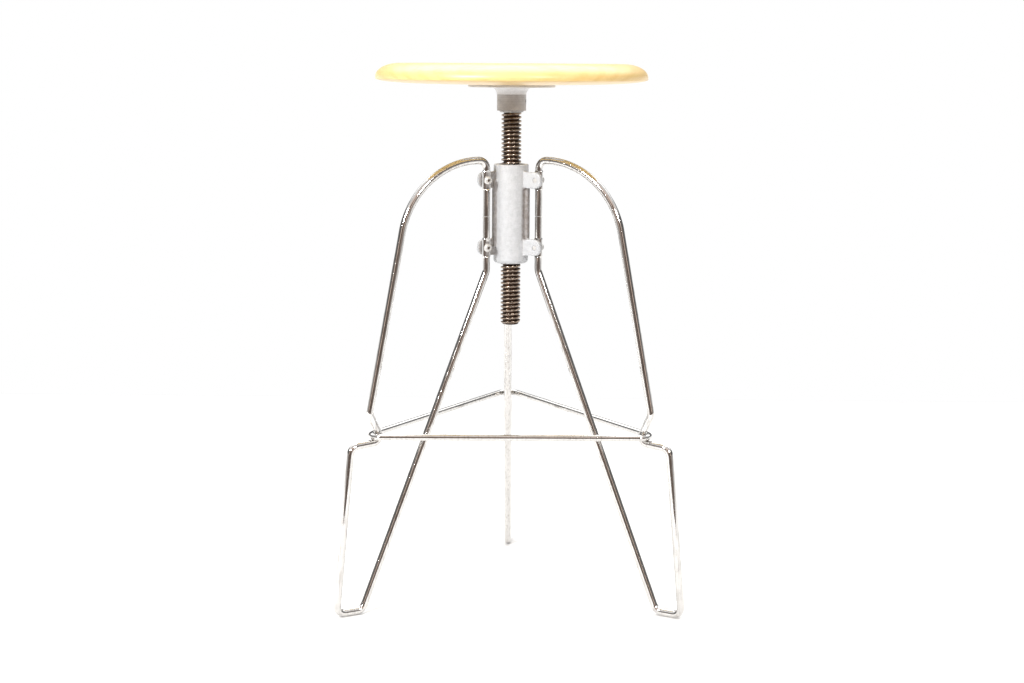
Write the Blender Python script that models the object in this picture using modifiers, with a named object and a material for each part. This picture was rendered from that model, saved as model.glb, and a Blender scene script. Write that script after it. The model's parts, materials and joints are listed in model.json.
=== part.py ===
"""Screw-adjustable three-legged bar stool.

Every piece is its own closed solid, in metres, +Z up, standing on Z = 0 under the middle of its own box.
The spindle runs along the Z axis of the root empty, and the three legs are spaced evenly around it.
"""

import math

import bmesh
import bpy
from mathutils import Matrix, Vector

# Fit between pieces that touch
FIT_GAP = 0.0003

# Round seat of solid wood
SEAT_DIAMETER = 0.343
SEAT_THICKNESS = 0.0254
SEAT_ROLL_WIDTH = 0.030
SEAT_ROLL_HEIGHT = 0.017
SEAT_RELIEF_HEIGHT = 0.0063
SEAT_RELIEF_WIDTH = 0.080
SEAT_RAISE = 0.0652

# Cast plate under the seat, with the boss that takes the spindle
PLATE_DIAMETER = 0.110
PLATE_THICKNESS = 0.0038
BOSS_DIAMETER = 0.0374
BOSS_LENGTH = 0.0293
BOSS_FLARE = 0.0088
BOSS_ROOF = 0.002

# Countersunk screws that hold the plate to the seat
SEAT_SCREW_COUNT = 4
SEAT_SCREW_CIRCLE = 0.084
SEAT_SCREW_DIAMETER = 0.0042
SEAT_SCREW_BITE = 0.016
SEAT_SCREW_HEAD_DIAMETER = 0.0086
SEAT_SCREW_SINK_DIAMETER = 0.0095
SEAT_SCREW_CROSS = 0.0046
SEAT_SCREW_CROSS_WIDTH = 0.0011
SEAT_SCREW_CROSS_DEPTH = 0.0014

# Grub screw that locks the spindle in the boss
SET_SCREW_DIAMETER = 0.006
SET_SCREW_RECESS = 0.0009
SET_SCREW_CHAMFER = 0.0007
SET_SCREW_HEIGHT = 0.012
SET_SCREW_ANGLE = math.radians(-8)
SET_SCREW_KEY = 0.003

# Washer between the boss and the spindle's shoulder
WASHER_DIAMETER = 0.030
WASHER_THICKNESS = 0.0016

# Trapezoidal screw spindle
THREAD_MAJOR_DIAMETER = 0.0254
THREAD_PITCH = 0.00508
THREAD_DEPTH = 0.00279
THREAD_FLANK = math.radians(14.5)
THREAD_CREST = 0.00188
THREAD_LENGTH = 0.2696
THREAD_RADIAL_PLAY = 0.0009
THREAD_AXIAL_PLAY = 0.0003
JOURNAL_DIAMETER = 0.018
SPINDLE_CHAMFER = 0.003

# Cast hub and the two threaded bushes pressed into its ends
HUB_BOTTOM = 0.4326
HUB_HEIGHT = 0.1257
HUB_DIAMETER = 0.0445
HUB_BORE_DIAMETER = 0.0284
HUB_TOP_CHAMFER = 0.001
HUB_BOTTOM_ROUND = 0.005
BUSH_DIAMETER = 0.031
BUSH_LENGTH = 0.020
BUSH_RECESS = 0.0005

# Ears on the hub, one pair for each leg, and the rib between them
LEG_NAMES = ["back", "front_left", "front_right"]
LEG_COUNT = len(LEG_NAMES)
EAR_HEIGHT = 0.0205
EAR_THICKNESS = 0.007
EAR_REACH = 0.0460
EAR_ROUND = 0.009
EAR_ROOT_ROUND = 0.004
EAR_GRIP = 0.0008
RIB_REACH = 0.0262
RIB_THICKNESS = 0.006
UPPER_EAR_DROP = 0.0192
LOWER_EAR_RISE = 0.0214

# Leg: one rod bent to a loop in an upright plane through the spindle
ROD_DIAMETER = 0.009525
ROD_OFFSET = 0.0045
CLAMP_RADIUS = 0.0381
CROWN_RISE = 0.0057
CROWN_BEND = 0.011
CROWN_FLAT = 0.001
SHOULDER_BEND = 0.108
NOTCH_TOP_OUT = 0.0035
NOTCH_TOP_RISE = 0.0295
NOTCH_FOOT_OUT = 0.0290
NOTCH_FOOT_DROP = 0.0115
NOTCH_BEND = 0.011
FOOT_OUTER_RADIUS = 0.2485
FOOT_INNER_RADIUS = 0.2135
FOOT_OUTER_BEND = 0.0095
FOOT_INNER_BEND = 0.012
KNEE_DROP = 0.0085
KNEE_BEND = 0.020
SEAM_DROP = 0.0647

# Places where the rod is pressed flat and drilled for its clamp screws
FLAT_LENGTH = 0.025
FLAT_BLEND = 0.002
FLAT_WIDTH = 0.0112
FLAT_THICKNESS = 0.007

# Button-head clamp screws
CLAMP_SCREW_DIAMETER = 0.006
CLAMP_HOLE_PLAY = 0.0003
CLAMP_HEAD_DIAMETER = 0.0105
CLAMP_HEAD_HEIGHT = 0.0033
CLAMP_KEY = 0.004
CLAMP_KEY_DEPTH = 0.002
CLAMP_END_RECESS = 0.0006

# Triangular footrest ring, held in the notches of the legs
FOOTREST_ROD_DIAMETER = 0.00794
FOOTREST_HEIGHT = 0.2265
FOOTREST_REACH = 0.198
FOOTREST_BEND = 0.014

# Fineness of the meshes
BEND_STEP = math.radians(15)
DOME_STEP = math.radians(30)
SMOOTH_ANGLE = math.radians(35)
ROD_BEVEL_RESOLUTION = 3
SEAT_STEPS = 40
TURNED_STEPS = 28
SCREW_STEPS = 12
HEX_SIDES = 6
CROSS_ARMS = 4
THREAD_STEPS = 10
ENVELOPE_TWIST = math.radians(1.3)
CUT_OVERRUN = 0.002
WELD = 0.00001
ROUNDING = 0.000001

# Heights of the stack on the spindle, from the hub up
ROD_RADIUS = ROD_DIAMETER / 2
HUB_TOP = HUB_BOTTOM + HUB_HEIGHT
WASHER_BOTTOM = HUB_TOP + SEAT_RAISE
SHOULDER_TOP = WASHER_BOTTOM - FIT_GAP
BOSS_BOTTOM = WASHER_BOTTOM + WASHER_THICKNESS + FIT_GAP
PLATE_BOTTOM = BOSS_BOTTOM + BOSS_LENGTH
PLATE_TOP = PLATE_BOTTOM + PLATE_THICKNESS
SEAT_BOTTOM = PLATE_TOP + FIT_GAP
SEAT_TOP = SEAT_BOTTOM + SEAT_THICKNESS
BORE_TOP = PLATE_BOTTOM - BOSS_ROOF
THREAD_BOTTOM = SHOULDER_TOP - THREAD_LENGTH
UPPER_EAR = HUB_TOP - UPPER_EAR_DROP
LOWER_EAR = HUB_BOTTOM + LOWER_EAR_RISE
EAR_HEIGHTS = {"upper": UPPER_EAR, "lower": LOWER_EAR}

# Sides of the clamped joint, measured across the leg's plane
FLAT_OUTSIDE = ROD_OFFSET + FLAT_THICKNESS / 2
EAR_FACE = ROD_OFFSET - FLAT_THICKNESS / 2 - FIT_GAP
EAR_BACK = EAR_FACE - EAR_THICKNESS
CLAMP_HOLE_DIAMETER = CLAMP_SCREW_DIAMETER + 2 * CLAMP_HOLE_PLAY


# Plane geometry

def arc(centre, radius, start, end, step=BEND_STEP):
    """Points along an arc, both ends included."""
    count = max(2, math.ceil(abs(end - start) / step - ROUNDING))
    points = []
    for index in range(count + 1):
        angle = start + (end - start) * index / count
        points.append(Vector((centre[0] + radius * math.cos(angle), centre[1] + radius * math.sin(angle))))
    return points


def bend(before, corner, after, radius):
    """The arc that rounds one corner of a path."""
    back = (before - corner).normalized()
    ahead = (after - corner).normalized()
    half = back.angle(ahead) / 2
    centre = corner + (back + ahead).normalized() * (radius / math.sin(half))
    first = corner + back * (radius / math.tan(half)) - centre
    last = corner + ahead * (radius / math.tan(half)) - centre
    start = math.atan2(first.y, first.x)
    turn = math.atan2(first.x * last.y - first.y * last.x, first.dot(last))
    return arc(centre, radius, start, start + turn)


def rounded_path(corners, closed=False):
    """A path through corners given as (point, bend radius); a radius of None keeps the point."""
    points = []
    count = len(corners)
    for index, (corner, radius) in enumerate(corners):
        if radius is None:
            points.append(Vector(corner))
            continue
        before = corners[(index - 1) % count][0] if closed or index else corner
        after = corners[(index + 1) % count][0]
        points.extend(bend(Vector(before), Vector(corner), Vector(after), radius))
    return points


def meeting_point(first, first_way, second, second_way):
    """Where two lines meet, each given by a point and a direction."""
    cross = first_way.x * second_way.y - first_way.y * second_way.x
    apart = second - first
    return first + first_way * ((apart.x * second_way.y - apart.y * second_way.x) / cross)


def tangent_way(point, centre, radius, side):
    """Direction from a point along the line that grazes a circle, on its left (1) or right (-1) side."""
    ahead = centre - point
    slant = math.asin(radius / ahead.length)
    return (Matrix.Rotation(side * slant, 2) @ ahead).normalized()


def leg_corners():
    """Corners of the rod's centreline as (distance from spindle, height) with their bend radii."""
    crown = HUB_TOP + CROWN_RISE
    notch = Vector((FOOTREST_REACH, FOOTREST_HEIGHT))
    notch_radius = FOOTREST_ROD_DIAMETER / 2 + ROD_RADIUS + FIT_GAP
    notch_top = notch + Vector((NOTCH_TOP_OUT, NOTCH_TOP_RISE))
    notch_foot = notch + Vector((NOTCH_FOOT_OUT, -NOTCH_FOOT_DROP))
    way_in = tangent_way(notch_top, notch, notch_radius, -1)
    way_back = tangent_way(notch_foot, notch, notch_radius, 1)
    notch_apex = meeting_point(notch_top, way_in, notch_foot, way_back)
    shoulder_centre = Vector((CLAMP_RADIUS + CROWN_BEND + CROWN_FLAT, crown - SHOULDER_BEND))
    outer_run = tangent_way(notch_top, shoulder_centre, SHOULDER_BEND, -1)
    shoulder = meeting_point(notch_top, outer_run, Vector((0, crown)), Vector((1, 0)))
    seam = HUB_TOP - SEAM_DROP
    upper_run = [(Vector((CLAMP_RADIUS, height)), None) for height in flat_rings(UPPER_EAR)]
    lower_run = [(Vector((CLAMP_RADIUS, height)), None) for height in flat_rings(LOWER_EAR)]
    return [
        (Vector((CLAMP_RADIUS, seam + FIT_GAP / 2)), None),
        *upper_run,
        (Vector((CLAMP_RADIUS, crown)), CROWN_BEND),
        (shoulder, SHOULDER_BEND),
        (notch_top, NOTCH_BEND),
        (notch_apex, notch_radius),
        (notch_foot, NOTCH_BEND),
        (Vector((FOOT_OUTER_RADIUS, ROD_RADIUS)), FOOT_OUTER_BEND),
        (Vector((FOOT_INNER_RADIUS, ROD_RADIUS)), FOOT_INNER_BEND),
        (Vector((CLAMP_RADIUS, HUB_BOTTOM - KNEE_DROP)), KNEE_BEND),
        *lower_run,
        (Vector((CLAMP_RADIUS, seam - FIT_GAP / 2)), None),
    ]


def flat_rings(ear):
    """Heights of the rod's sections at one pressed flat, from the lowest up."""
    half = FLAT_LENGTH / 2
    return [ear - half, ear - half + FLAT_BLEND, ear + half - FLAT_BLEND, ear + half]


def footrest_path():
    """Centreline of the footrest ring seen from above, one rounded corner at each leg."""
    corner_reach = math.hypot(FOOTREST_REACH, ROD_OFFSET)
    twist = math.atan2(ROD_OFFSET, FOOTREST_REACH)
    sharp_reach = corner_reach + FOOTREST_BEND * (1 / math.sin(math.pi / 2 - math.pi / LEG_COUNT) - 1)
    corners = []
    for index in range(LEG_COUNT):
        angle = leg_angle(index) + twist
        corner = Vector((sharp_reach * math.cos(angle), sharp_reach * math.sin(angle)))
        corners.append((corner, FOOTREST_BEND))
    return rounded_path(corners, closed=True)


def leg_angle(index):
    """Direction of a leg from the spindle, the first one straight back."""
    return math.pi / 2 + index * 2 * math.pi / LEG_COUNT


# Scene helpers

def clear_scene():
    """Start from an empty scene."""
    for old in list(bpy.data.objects):
        bpy.data.objects.remove(old)


def new_collection(name):
    """A collection of its own under the scene."""
    collection = bpy.data.collections.new(name)
    bpy.context.scene.collection.children.link(collection)
    return collection


def new_material(name, colour, roughness, metallic):
    """A plain Principled finish."""
    material = bpy.data.materials.new(name)
    material.use_nodes = True
    shader = material.node_tree.nodes["Principled BSDF"]
    shader.inputs["Base Color"].default_value = (*colour, 1)
    shader.inputs["Roughness"].default_value = roughness
    shader.inputs["Metallic"].default_value = metallic
    return material


def add_object(name, data, collection, material=None):
    """Link new object data into a collection."""
    made = bpy.data.objects.new(name, data)
    collection.objects.link(made)
    if material:
        made.data.materials.clear()
        made.data.materials.append(material)
    return made


def mesh_of(made):
    """The evaluated mesh of an object, with its loose caps welded."""
    bpy.context.view_layer.update()
    graph = bpy.context.evaluated_depsgraph_get()
    mesh = bpy.data.meshes.new_from_object(made.evaluated_get(graph))
    shape = bmesh.new()
    shape.from_mesh(mesh)
    bmesh.ops.remove_doubles(shape, verts=shape.verts, dist=WELD)
    bmesh.ops.recalc_face_normals(shape, faces=shape.faces)
    shape.to_mesh(mesh)
    shape.free()
    return mesh


def as_mesh(made, collection):
    """Replace a curve, or an object with modifiers, by its finished mesh."""
    mesh = mesh_of(made)
    name = made.name
    place = made.matrix_world.copy()
    bpy.data.objects.remove(made)
    solid = add_object(name, mesh, collection)
    solid.matrix_world = place
    return solid


def turned(name, profile, steps, collection, material=None):
    """A profile of (radius, height) points, running down its outer side, turned about Z."""
    mesh = bpy.data.meshes.new(name)
    points = [(radius, 0, height) for radius, height in profile]
    edges = [(index, index + 1) for index in range(len(points) - 1)]
    if profile[0][0] > 0 or profile[-1][0] > 0:
        edges.append((len(points) - 1, 0))
    mesh.from_pydata(points, edges, [])
    made = add_object(name, mesh, collection, material)
    screw = made.modifiers.new("turn", "SCREW")
    screw.steps = steps
    screw.render_steps = steps
    screw.use_merge_vertices = True
    screw.merge_threshold = WELD
    return made


def rod(name, points, diameter, closed, collection, material=None):
    """A round rod bent along a path of 3-D points."""
    curve = bpy.data.curves.new(name, "CURVE")
    curve.dimensions = "3D"
    curve.bevel_depth = diameter / 2
    curve.bevel_resolution = ROD_BEVEL_RESOLUTION
    curve.use_fill_caps = True
    spline = curve.splines.new("POLY")
    spline.points.add(len(points) - 1)
    for point, place in zip(spline.points, points):
        point.co = (*place, 1)
    spline.use_cyclic_u = closed
    return add_object(name, curve, collection, material)


def plate(name, outlines, thickness, collection):
    """A flat outline with the outlines of its holes, filled and given a thickness about its own plane."""
    curve = bpy.data.curves.new(name, "CURVE")
    curve.dimensions = "2D"
    curve.fill_mode = "BOTH"
    curve.extrude = thickness / 2
    for outline in outlines:
        spline = curve.splines.new("POLY")
        spline.points.add(len(outline) - 1)
        for point, place in zip(spline.points, outline):
            point.co = (place[0], place[1], 0, 1)
        spline.use_cyclic_u = True
    return as_mesh(add_object(name, curve, collection), collection)


def cylinder(name, diameter, bottom, top, sides, collection):
    """A closed cylinder on the Z axis."""
    mesh = bpy.data.meshes.new(name)
    shape = bmesh.new()
    middle = Matrix.Translation((0, 0, (bottom + top) / 2))
    bmesh.ops.create_cone(
        shape,
        cap_ends=True,
        segments=sides,
        radius1=diameter / 2,
        radius2=diameter / 2,
        depth=top - bottom,
        matrix=middle,
    )
    shape.to_mesh(mesh)
    shape.free()
    return add_object(name, mesh, collection)


def as_tool(made):
    """Show a cutting or joining shape as wires and keep it out of the finished model."""
    made.hide_render = True
    made.display_type = "WIRE"
    return made


def combine(made, tool, operation):
    """Cut a piece with a tool, join the tool to it, or keep what they share."""
    change = made.modifiers.new(tool.name, "BOOLEAN")
    change.operation = operation
    change.object = as_tool(tool)
    return made


def smooth(made):
    """Shade the round faces smooth and keep the sharp edges."""
    made.data.shade_smooth()
    made.data.set_sharp_from_angle(angle=SMOOTH_ANGLE)
    return made


def key_width(across_flats):
    """Diameter across the corners of a hexagon."""
    return across_flats / math.cos(math.pi / HEX_SIDES)


# Screw thread

def thread(name, root, crest, crest_width, bottom, top, collection):
    """A closed right-hand thread that covers at least the heights given, all threads in one phase."""
    flank = (crest - root) * math.tan(THREAD_FLANK)
    first_turn = math.floor(bottom / THREAD_PITCH) - 1
    turns = math.ceil(top / THREAD_PITCH) + 1 - first_turn
    start = first_turn * THREAD_PITCH
    middle = THREAD_PITCH / 2
    profile = [
        (root, THREAD_PITCH),
        (root, middle + crest_width / 2 + flank),
        (crest, middle + crest_width / 2),
        (crest, middle - crest_width / 2),
        (root, middle - crest_width / 2 - flank),
        (root, 0),
    ]
    mesh = bpy.data.meshes.new(name)
    points = [(radius, 0, start + height) for radius, height in profile]
    mesh.from_pydata(points, [(index, index + 1) for index in range(len(points) - 1)], [])
    made = add_object(name, mesh, collection)
    screw = made.modifiers.new("wind", "SCREW")
    screw.steps = THREAD_STEPS
    screw.render_steps = THREAD_STEPS
    screw.iterations = turns
    screw.screw_offset = THREAD_PITCH
    screw.use_merge_vertices = False
    made = as_mesh(made, collection)
    close_ends(made.data)
    return made


def close_ends(mesh):
    """Close the two open ends of a wound thread with a fan to the axis."""
    shape = bmesh.new()
    shape.from_mesh(mesh)
    open_edges = [edge for edge in shape.edges if edge.is_boundary]
    halfway = sum(vert.co.z for vert in shape.verts) / len(shape.verts)
    for above in (False, True):
        rim = [edge for edge in open_edges if (edge.verts[0].co.z > halfway) == above]
        height = sum(edge.verts[0].co.z for edge in rim) / len(rim)
        hub = shape.verts.new((0, 0, height))
        for edge in rim:
            shape.faces.new((edge.verts[0], edge.verts[1], hub))
    bmesh.ops.recalc_face_normals(shape, faces=shape.faces)
    shape.to_mesh(mesh)
    shape.free()


# Pieces that turn with the seat

def build_seat(parts, tools):
    """Round wooden seat with a rolled top edge and an underside that sweeps up to the rim."""
    rim = SEAT_DIAMETER / 2
    crease = SEAT_BOTTOM + SEAT_RELIEF_HEIGHT
    roll = []
    for point in arc((0, 0), 1, math.pi / 2, 0):
        inward = SEAT_ROLL_WIDTH * (1 - point.x)
        roll.append((rim - inward, SEAT_TOP - SEAT_ROLL_HEIGHT * (1 - point.y)))
    sweep = []
    for point in arc((0, 0), 1, 0, -math.pi / 2)[1:]:
        inward = SEAT_RELIEF_WIDTH * (1 - point.x)
        sweep.append((rim - inward, crease + SEAT_RELIEF_HEIGHT * point.y))
    profile = [(0, SEAT_TOP), *roll, (rim, crease), *sweep, (0, SEAT_BOTTOM)]
    wood = new_material("seat_wood", (0.93, 0.72, 0.34), 0.38, 0)
    seat = turned("seat", profile, SEAT_STEPS, parts, wood)
    for index, place in enumerate(seat_screw_places()):
        pilot_top = SEAT_BOTTOM + SEAT_SCREW_BITE + FIT_GAP
        pilot = cylinder(
            f"pilot_hole_{index + 1}",
            SEAT_SCREW_DIAMETER + 2 * FIT_GAP,
            SEAT_BOTTOM - CUT_OVERRUN,
            pilot_top,
            SCREW_STEPS,
            tools,
        )
        pilot.location = (*place, 0)
        combine(seat, pilot, "DIFFERENCE")
    return seat


def seat_screw_places():
    """Points of the seat screws seen from above."""
    places = []
    for index in range(SEAT_SCREW_COUNT):
        angle = (index + 0.5) * 2 * math.pi / SEAT_SCREW_COUNT
        places.append((SEAT_SCREW_CIRCLE / 2 * math.cos(angle), SEAT_SCREW_CIRCLE / 2 * math.sin(angle)))
    return places


def build_seat_plate(parts, tools):
    """Cast plate with a flared boss, bored for the spindle and drilled for its screws."""
    rim = PLATE_DIAMETER / 2
    side = BOSS_DIAMETER / 2
    flare = arc((side + BOSS_FLARE, PLATE_BOTTOM - BOSS_FLARE), BOSS_FLARE, math.pi / 2, math.pi)
    profile = [
        (0, PLATE_TOP),
        (rim, PLATE_TOP),
        (rim, PLATE_BOTTOM),
        *[tuple(point) for point in flare],
        (side, BOSS_BOTTOM),
        (0, BOSS_BOTTOM),
    ]
    cast = new_material("seat_plate_cast", (0.62, 0.62, 0.61), 0.45, 0.9)
    made = turned("seat_plate", profile, TURNED_STEPS, parts, cast)
    bore_width = JOURNAL_DIAMETER + 2 * FIT_GAP
    bore = cylinder("spindle_bore", bore_width, BOSS_BOTTOM - CUT_OVERRUN, BORE_TOP, TURNED_STEPS, tools)
    combine(made, bore, "DIFFERENCE")
    for index, place in enumerate(seat_screw_places()):
        hole = sunk_hole(f"plate_hole_{index + 1}", tools)
        hole.location = (*place, 0)
        combine(made, hole, "DIFFERENCE")
    tapped_width = SET_SCREW_DIAMETER + 2 * FIT_GAP
    tapped = cylinder("set_screw_hole", tapped_width, 0, BOSS_DIAMETER, SCREW_STEPS, tools)
    tapped.matrix_world = set_screw_place()
    combine(made, tapped, "DIFFERENCE")
    return made


def sunk_hole(name, tools):
    """Cutter for a countersunk screw hole through the plate."""
    shank = SEAT_SCREW_DIAMETER / 2 + FIT_GAP
    sink = SEAT_SCREW_SINK_DIAMETER / 2
    profile = [
        (0, PLATE_TOP + CUT_OVERRUN),
        (shank, PLATE_TOP + CUT_OVERRUN),
        (shank, PLATE_BOTTOM + sink - shank),
        (sink + CUT_OVERRUN, PLATE_BOTTOM - CUT_OVERRUN),
        (0, PLATE_BOTTOM - CUT_OVERRUN),
    ]
    return turned(name, profile, SCREW_STEPS, tools)


def set_screw_place():
    """Frame of the grub screw: on the spindle axis, its Z pointing out through the boss."""
    lift = Matrix.Translation((0, 0, BOSS_BOTTOM + SET_SCREW_HEIGHT))
    return lift @ Matrix.Rotation(SET_SCREW_ANGLE, 4, "Z") @ Matrix.Rotation(math.pi / 2, 4, "Y")


def build_set_screw(parts, tools):
    """Headless screw that bears on the spindle's journal."""
    tip = JOURNAL_DIAMETER / 2 + FIT_GAP
    end = BOSS_DIAMETER / 2 - SET_SCREW_RECESS
    radius = SET_SCREW_DIAMETER / 2
    point = radius - SET_SCREW_CHAMFER
    profile = [(0, end), (radius, end), (radius, tip + SET_SCREW_CHAMFER), (point, tip), (0, tip)]
    steel = new_material("set_screw_steel", (0.05, 0.05, 0.055), 0.4, 1)
    made = turned("spindle_set_screw", profile, SCREW_STEPS, parts, steel)
    made.matrix_world = set_screw_place()
    width = key_width(SET_SCREW_KEY)
    key = cylinder("set_screw_key", width, (tip + end) / 2, end + CUT_OVERRUN, HEX_SIDES, tools)
    key.matrix_world = set_screw_place()
    return combine(made, key, "DIFFERENCE")


def cross_outline():
    """Outline of the driver recess in a seat screw."""
    arm = SEAT_SCREW_CROSS / 2
    half = SEAT_SCREW_CROSS_WIDTH / 2
    quarter = [Vector((arm, -half)), Vector((arm, half)), Vector((half, half))]
    outline = []
    for index in range(CROSS_ARMS):
        turn = Matrix.Rotation(index * 2 * math.pi / CROSS_ARMS, 2)
        outline.extend(turn @ point for point in quarter)
    return outline


def seat_screw_mesh(parts, tools):
    """Countersunk wood screw on the Z axis, its head flush with the underside of the plate."""
    head = SEAT_SCREW_HEAD_DIAMETER / 2
    shank = SEAT_SCREW_DIAMETER / 2
    tip = SEAT_BOTTOM + SEAT_SCREW_BITE
    profile = [
        (0, tip),
        (shank, tip - 2 * shank),
        (shank, PLATE_BOTTOM + head - shank),
        (head, PLATE_BOTTOM),
        (0, PLATE_BOTTOM),
    ]
    made = turned("seat_screw", profile, SCREW_STEPS, parts)
    cross = plate("screw_cross", [cross_outline()], 2 * SEAT_SCREW_CROSS_DEPTH, tools)
    cross.location.z = PLATE_BOTTOM
    combine(made, cross, "DIFFERENCE")
    mesh = mesh_of(made)
    bpy.data.objects.remove(made)
    return mesh


def build_seat_screws(parts, tools):
    """Wood screws driven up through the plate."""
    mesh = seat_screw_mesh(parts, tools)
    steel = new_material("seat_screw_steel", (0.7, 0.68, 0.62), 0.35, 1)
    screws = []
    for index, place in enumerate(seat_screw_places()):
        screw = add_object(f"seat_screw_{index + 1}", mesh, parts, steel)
        screw.location = (*place, 0)
        screws.append(smooth(screw))
    return screws


def build_spindle(parts, tools):
    """Threaded spindle with a plain journal at the top and a chamfered lower end.

    The envelope is twisted a little so that none of its edges meets an edge of the thread.
    """
    crest = THREAD_MAJOR_DIAMETER / 2
    outside = crest + CUT_OVERRUN
    journal = JOURNAL_DIAMETER / 2
    slope = outside - crest + SPINDLE_CHAMFER
    profile = [
        (0, BORE_TOP - FIT_GAP),
        (journal, BORE_TOP - FIT_GAP),
        (journal, SHOULDER_TOP),
        (outside, SHOULDER_TOP),
        (outside, THREAD_BOTTOM + slope),
        (outside - slope, THREAD_BOTTOM),
        (0, THREAD_BOTTOM),
    ]
    wound = thread(
        "spindle", crest - THREAD_DEPTH, crest, THREAD_CREST, THREAD_BOTTOM, BORE_TOP + THREAD_PITCH, parts
    )
    wound.data.materials.append(new_material("spindle_steel", (0.11, 0.095, 0.085), 0.38, 1))
    envelope = turned("spindle_envelope", profile, TURNED_STEPS, tools)
    envelope.rotation_euler.z = ENVELOPE_TWIST
    return combine(wound, envelope, "INTERSECT")


# Piece that rises with the seat without turning

def build_washer(parts):
    """Thrust washer between the boss and the shoulder of the spindle."""
    outer = WASHER_DIAMETER / 2
    inner = JOURNAL_DIAMETER / 2 + FIT_GAP
    top = WASHER_BOTTOM + WASHER_THICKNESS
    profile = [(outer, top), (outer, WASHER_BOTTOM), (inner, WASHER_BOTTOM), (inner, top)]
    steel = new_material("washer_steel", (0.78, 0.78, 0.76), 0.3, 1)
    return turned("stop_washer", profile, TURNED_STEPS, parts, steel)


# Pieces of the base

def ear_outline(height):
    """Outline of an ear, rounded at its end and filleted into the hub, as (distance from spindle, height)."""
    root = (HUB_BORE_DIAMETER + HUB_DIAMETER) / 4
    wall = math.sqrt((HUB_DIAMETER / 2) ** 2 - EAR_BACK ** 2) - EAR_GRIP
    low = height - EAR_HEIGHT / 2
    high = height + EAR_HEIGHT / 2
    skirt = 2 * EAR_ROOT_ROUND
    corners = [
        (Vector((root, low - skirt)), None),
        (Vector((wall, low - skirt)), None),
        (Vector((wall, low)), EAR_ROOT_ROUND),
        (Vector((EAR_REACH, low)), EAR_ROUND),
        (Vector((EAR_REACH, high)), EAR_ROUND),
        (Vector((wall, high)), EAR_ROOT_ROUND),
        (Vector((wall, high + skirt)), None),
        (Vector((root, high + skirt)), None),
    ]
    return rounded_path(corners, closed=True)


def ear_hole(height):
    """Outline of the clamp screw's hole in an ear."""
    turn = 2 * math.pi
    return arc((CLAMP_RADIUS, height), CLAMP_HOLE_DIAMETER / 2, 0, turn, turn / SCREW_STEPS)[1:]


def rib_outline():
    """Outline of the rib that joins two ears, as (distance from spindle, height)."""
    root = (HUB_BORE_DIAMETER + HUB_DIAMETER) / 4
    return [(root, LOWER_EAR), (RIB_REACH, LOWER_EAR), (RIB_REACH, UPPER_EAR), (root, UPPER_EAR)]


def stand_on_hub(made, index, aside):
    """Stand a flat shape upright on the hub in the direction of one leg."""
    upright = Matrix.Translation((0, aside, 0)) @ Matrix.Rotation(math.pi / 2, 4, "X")
    made.matrix_world = Matrix.Rotation(leg_angle(index), 4, "Z") @ upright
    return made


def build_hub(parts, tools):
    """Cast hub: a barrel with ears and ribs for the legs, counterbored at both ends for its bushes."""
    side = HUB_DIAMETER / 2
    foot = arc((side - HUB_BOTTOM_ROUND, HUB_BOTTOM + HUB_BOTTOM_ROUND), HUB_BOTTOM_ROUND, 0, -math.pi / 2)
    profile = [
        (0, HUB_TOP),
        (side - HUB_TOP_CHAMFER, HUB_TOP),
        (side, HUB_TOP - HUB_TOP_CHAMFER),
        *[tuple(point) for point in foot],
        (0, HUB_BOTTOM),
    ]
    cast = new_material("hub_cast", (0.74, 0.745, 0.74), 0.5, 0.85)
    hub = turned("hub", profile, TURNED_STEPS, parts, cast)
    for index in range(LEG_COUNT):
        rib = plate(f"rib_{LEG_NAMES[index]}", [rib_outline()], RIB_THICKNESS, tools)
        combine(hub, stand_on_hub(rib, index, 0), "UNION")
        for name, height in EAR_HEIGHTS.items():
            outlines = [ear_outline(height), ear_hole(height)]
            ear = plate(f"ear_{LEG_NAMES[index]}_{name}", outlines, EAR_THICKNESS, tools)
            combine(hub, stand_on_hub(ear, index, (EAR_FACE + EAR_BACK) / 2), "UNION")
    return combine(hub, hub_bore(tools), "DIFFERENCE")


def hub_bore(tools):
    """Cutter for the hub's bore and the two counterbores that seat the bushes."""
    pocket = BUSH_DIAMETER / 2 + FIT_GAP
    bore = HUB_BORE_DIAMETER / 2
    depth = BUSH_RECESS + BUSH_LENGTH + FIT_GAP
    profile = [
        (0, HUB_TOP + CUT_OVERRUN),
        (pocket, HUB_TOP + CUT_OVERRUN),
        (pocket, HUB_TOP - depth),
        (bore, HUB_TOP - depth),
        (bore, HUB_BOTTOM + depth),
        (pocket, HUB_BOTTOM + depth),
        (pocket, HUB_BOTTOM - CUT_OVERRUN),
        (0, HUB_BOTTOM - CUT_OVERRUN),
    ]
    return turned("hub_bore", profile, TURNED_STEPS, tools)


def build_bush(name, bottom, parts, tools):
    """Threaded bush that carries the spindle."""
    radius = BUSH_DIAMETER / 2
    top = bottom + BUSH_LENGTH
    profile = [(0, top), (radius, top), (radius, bottom), (0, bottom)]
    bronze = new_material(f"{name}_bronze", (0.16, 0.13, 0.1), 0.4, 1)
    bush = turned(name, profile, TURNED_STEPS, parts, bronze)
    crest = THREAD_MAJOR_DIAMETER / 2
    tap = thread(
        f"{name}_tap",
        crest - THREAD_DEPTH + THREAD_RADIAL_PLAY,
        crest + THREAD_RADIAL_PLAY,
        THREAD_CREST + 2 * THREAD_AXIAL_PLAY,
        bottom,
        top,
        tools,
    )
    return combine(bush, tap, "DIFFERENCE")


def clamp_place(height):
    """Frame of a clamp screw in its leg's plane: Z points out of the screw's head."""
    return Matrix.Translation((CLAMP_RADIUS, 0, height)) @ Matrix.Rotation(-math.pi / 2, 4, "X")


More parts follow.
